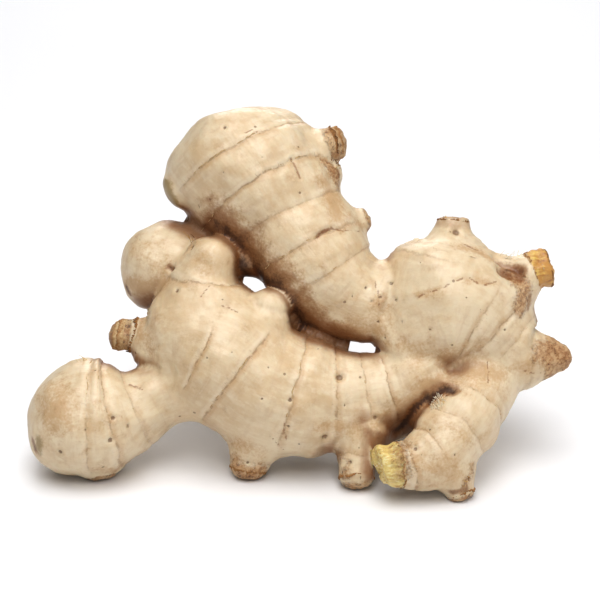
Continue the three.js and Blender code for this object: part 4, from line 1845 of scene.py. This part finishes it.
    def build(self) -> bpy.types.Object:
        """Builds the skin and hands it to the frame."""
        piece = self.raw()
        points = self.settle(piece.data)
        set_positions(piece.data, from_plan(points))
        self.tree = BVHTree.FromObject(piece, bpy.context.evaluated_depsgraph_get())
        points = self.dress(piece.data, points)
        set_positions(piece.data, inside_box(from_plan(points)))
        self.tree = BVHTree.FromObject(piece, bpy.context.evaluated_depsgraph_get())
        pick(piece)
        bpy.ops.object.shade_smooth()
        piece.data.materials.append(GingerSkin().make())
        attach(piece, "root")
        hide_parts("rhizome")
        log.info("%s: %d vertices", piece.name, len(piece.data.vertices))
        return piece


def join(pieces: list[bpy.types.Object], name: str, material: bpy.types.Material) -> bpy.types.Object:
    """Joins pieces into one, gives it its finish and lets it go with the hand.

    Args:
        pieces: what to join.
        name: the name of the whole.
        material: its finish.

    Returns:
        The joined piece.
    """
    pick(pieces[0])
    for piece in pieces:
        piece.select_set(True)
    bpy.ops.object.join()
    whole = bpy.context.view_layer.objects.active
    whole.name = whole.data.name = name
    set_positions(whole.data, inside_box(positions(whole.data)))
    whole.data.materials.clear()
    whole.data.materials.append(material)
    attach(whole, "root")
    log.info("%s: %d faces", name, len(whole.data.polygons))
    return whole


def twin(piece: bpy.types.Object) -> bpy.types.Object:
    """A copy of a piece with a mesh of its own."""
    other = piece.copy()
    other.data = piece.data.copy()
    bpy.context.scene.collection.objects.link(other)
    return other


@dataclass
class LeafRemains:
    """What is left of the scale leaves: fringes along the scars, and collars round buds and broken ends.

    Attributes:
        hand: the hand they grow on.
        turns: faces round each.
        rows: faces up each.
        thickness: of the leaf, in mm.
        fringe: tallest fringe along a scar, in mm.
        fringe_past: how far past the scar its foot is, in mm.
        fringe_lift: how far the edge of a fringe stands off the skin, in mm.
        fringe_dark: its colour on the faintest scar, and how much darker it is on the strongest.
        sunk: how deep the foot is under the skin, in mm.
        proud: how far the leaf stands off the skin just past its foot, in mm.
        least: height in mm below which a leaf is left out, and below which it sinks into the skin.
    """

    hand: Hand
    turns: int = 144
    rows: int = 3
    thickness: float = 0.12
    fringe: float = 0.55
    fringe_past: float = 0.15
    fringe_lift: float = 0.12
    fringe_dark: tuple = (0.05, 0.15)
    sunk: float = 0.25
    proud: float = 0.06
    least: tuple = (0.2, 0.3)

    def sheet(self) -> bpy.types.Object:
        """The flat strip that every remnant is shaped from."""
        deselect()
        bpy.ops.mesh.primitive_grid_add(x_subdivisions=self.turns, y_subdivisions=self.rows, size=1)
        return bpy.context.active_object

    def wrap(
        self, sheet: bpy.types.Object, index: int, station: float, tall: np.ndarray, lift: float, dark: float
    ) -> bpy.types.Object | None:
        """Wraps a copy of the strip round a finger.

        Args:
            sheet: the flat strip.
            index: the finger's number.
            station: where its foot is along the finger, in mm.
            tall: its height in mm at each angle round the finger.
            lift: how far its edge stands off, in mm.
            dark: its colour.

        Returns:
            The wrapped strip, or None where none of it is on open skin.
        """
        feet, along, mine = self.hand.ring_places(index, station, self.turns)
        tall = tall * mine
        if tall.max() < self.least[0]:
            return None
        piece = twin(sheet)
        flat = positions(piece.data)
        column = np.rint((flat[:, 0] + 0.5) * self.turns).astype(int) % self.turns
        rise = flat[:, 1] + 0.5
        stand = np.minimum(1, tall / self.least[1])[column]
        on = feet[column] + along[column] * (tall[column] * rise)[:, None]
        skin, outward = self.hand.nearest(on)
        off = -self.sunk + stand * np.where(rise > 0.01, self.sunk + self.proud + lift * rise**2, 0)
        set_positions(piece.data, from_plan(skin + outward * off[:, None]))
        mark(piece.data, "rise", rise)
        mark(piece.data, "dark", np.full(len(flat), dark))
        pick(piece)
        bpy.ops.object.mode_set(mode="EDIT")
        bpy.ops.mesh.select_all(action="SELECT")
        bpy.ops.mesh.remove_doubles(threshold=MERGE)
        bpy.ops.mesh.normals_make_consistent(inside=False)
        bpy.ops.object.mode_set(mode="OBJECT")
        apply(piece, "SOLIDIFY", {"thickness": self.thickness * MM, "offset": 0})
        return piece

    def tears(self, seed: float, coarse: int, ragged: float) -> np.ndarray:
        """Heights from 0 to 1 round a torn edge.

        Args:
            seed: picks the edge.
            coarse: how many large tears there are.
            ragged: how deep they go.

        Returns:
            A height for each angle.
        """
        angle = np.arange(self.turns) / self.turns * 2 * math.pi
        circle = np.stack([np.cos(angle), np.sin(angle), np.full(self.turns, seed)], axis=1)
        wide = self.hand.grain.at(circle * coarse / 6 + 50, 1.0)
        sharp = self.hand.grain.at(circle * coarse + 80, 1.0)
        return np.clip(1 - ragged * (0.5 + 0.7 * wide + 0.8 * sharp), 0, 1)

    def fringes(self, sheet: bpy.types.Object) -> list[bpy.types.Object | None]:
        """The torn fringes along the scars, finger by finger."""
        made = []
        for index, spine in enumerate(self.hand.flesh.spines):
            for ring, strength in spine.finger.rings:
                seed = 3.1 * index + 0.37 * ring
                kept = smooth(0.35, 0.75, self.tears(seed, 9, 1.0))
                tall = self.fringe * strength * kept * self.tears(seed + 9, 26, 0.9)
                dark = self.fringe_dark[0] + self.fringe_dark[1] * strength
                made.append(self.wrap(sheet, index, ring + self.fringe_past, tall, self.fringe_lift, dark))
        return made

    def collars(self, sheet: bpy.types.Object) -> list[bpy.types.Object | None]:
        """The collars round buds and broken ends."""
        made = []
        for collar in COLLARS:
            index = self.hand.flesh.names.index(collar.finger)
            foot = self.hand.flesh.spines[index].reach() - collar.back
            tall = collar.height * self.tears(7.7 * index + collar.back, 9, collar.ragged)
            made.append(self.wrap(sheet, index, foot, tall, collar.lift, collar.dark))
        return made

    def build(self) -> bpy.types.Object:
        """Builds all remnants as one piece."""
        sheet = self.sheet()
        made = self.fringes(sheet) + self.collars(sheet)
        bpy.data.objects.remove(sheet)
        return join([piece for piece in made if piece], "leaf_remains", DeadLeaf().make())


@dataclass
class Threads:
    """Threads of torn flesh and dead leaf.

    Attributes:
        hand: the hand they stand on.
        sides: faces round each.
        joints: pieces along each.
        taper: radius at each joint, as a share of the one below.
        root: how deep each starts under the skin, in mm.
        lengths, widths: the least and the most of its length and its width, as shares of the tuft's.
        wild: how far its way strays, as a share of its length.
        bend: how far its tip bends off, as a share of its length.
        mottle: how far its colour differs from the tuft's.
    """

    hand: Hand
    sides: int = 5
    joints: int = 4
    taper: float = 0.72
    root: float = 0.3
    lengths: tuple = (0.5, 1.4)
    widths: tuple = (0.6, 1.3)
    wild: float = 0.22
    bend: float = 0.25
    mottle: float = 0.12

    def thread(self) -> bpy.types.Object:
        """One straight thread of length 1 and radius 1 at its foot, tapering to its tip."""
        deselect()
        bpy.ops.mesh.primitive_circle_add(vertices=self.sides, radius=1, fill_type="NGON", location=(0, 0, 0))
        piece = bpy.context.active_object
        bpy.ops.object.mode_set(mode="EDIT")
        for _ in range(self.joints):
            bpy.ops.mesh.extrude_region_move(TRANSFORM_OT_translate={"value": (0, 0, 1 / self.joints)})
            bpy.ops.transform.resize(value=(self.taper, self.taper, 1))
        bpy.ops.mesh.select_all(action="SELECT")
        bpy.ops.mesh.normals_make_consistent(inside=False)
        bpy.ops.object.mode_set(mode="OBJECT")
        return piece

    def grow(
        self,
        thread: bpy.types.Object,
        foot: np.ndarray,
        way: np.ndarray,
        size: tuple,
        bend: np.ndarray,
        dark: float,
    ) -> bpy.types.Object:
        """Grows a copy of the thread.

        Args:
            thread: the straight thread.
            foot: where it starts, in the plan.
            way: the direction it starts in, of length 1.
            size: its length and its radius at the foot, in mm.
            bend: how far its tip strays, in mm.
            dark: its colour.

        Returns:
            The thread in its place.
        """
        piece = twin(thread)
        across, other, up = positions(piece.data).T
        side = unit(np.cross(way, (0.3, 0.5, 0.8)))
        length, width = size
        points = foot + np.outer(up * length, way) + np.outer(up**2, bend)
        points += np.outer(across * width, side) + np.outer(other * width, np.cross(way, side))
        set_positions(piece.data, from_plan(points))
        mark(piece.data, "dark", np.full(len(points), dark))
        return piece

    def feet(self, tuft: Tuft, draw: np.random.Generator) -> list[tuple[np.ndarray, np.ndarray]]:
        """Where a tuft's threads stand, and which way is out there.

        Args:
            tuft: the tuft.
            draw: random numbers.

        Returns:
            A place and a direction for each thread, in the plan.
        """
        if isinstance(tuft.root, str):
            spine = self.hand.flesh.spines[self.hand.flesh.names.index(tuft.root)]
            middle = spine.nodes[-1] + spine.along[-1] * spine.finger.dome * spine.tip
            way = spine.along[-1]
        else:
            middle = self.hand.on_skin(*tuft.root)
            if middle is None:
                log.warning("no skin under the threads at %s", tuft.root)
                return []
            way = self.hand.nearest(middle[None])[1][0]
        side = unit(np.cross(way, (0.2, 0.3, 0.9)))
        other = np.cross(way, side)
        spots = []
        for _ in range(tuft.count):
            turn, out = draw.uniform(0, 2 * math.pi), tuft.spread * math.sqrt(draw.uniform(0, 1))
            spot = middle + out * (math.cos(turn) * side + math.sin(turn) * other)
            skin, outward = self.hand.nearest(spot[None])
            spots.append((skin[0], outward[0] if not isinstance(tuft.root, str) else way))
        return spots

    def build(self) -> bpy.types.Object:
        """Builds all threads as one piece."""
        draw = np.random.default_rng(SEED + 1)
        thread = self.thread()
        made = []
        for tuft in TUFTS:
            across, up = tuft.heading
            heading = np.array([across, 0, up]) / math.hypot(across, up)
            for foot, out in self.feet(tuft, draw):
                stray = draw.normal(0, self.wild, 3)
                way = unit((1 - tuft.lean) * out + tuft.lean * heading + stray)
                length = tuft.length * draw.uniform(*self.lengths)
                width = tuft.width * draw.uniform(*self.widths)
                bend = draw.normal(0, self.bend, 3) * length
                dark = float(np.clip(tuft.dark + draw.normal(0, self.mottle), 0, 1))
                made.append(self.grow(thread, foot - self.root * out, way, (length, width), bend, dark))
        bpy.data.objects.remove(thread)
        return join(made, "threads", Thread().make())


def main() -> None:
    """Builds the studio and the hand."""
    logging.basicConfig(level=logging.INFO, format="%(name)s: %(message)s")
    studio = Studio()
    studio.build()
    hand = Hand(studio)
    hand.build()
    LeafRemains(hand).build()
    Threads(hand).build()


if __name__ == "__main__":
    main()
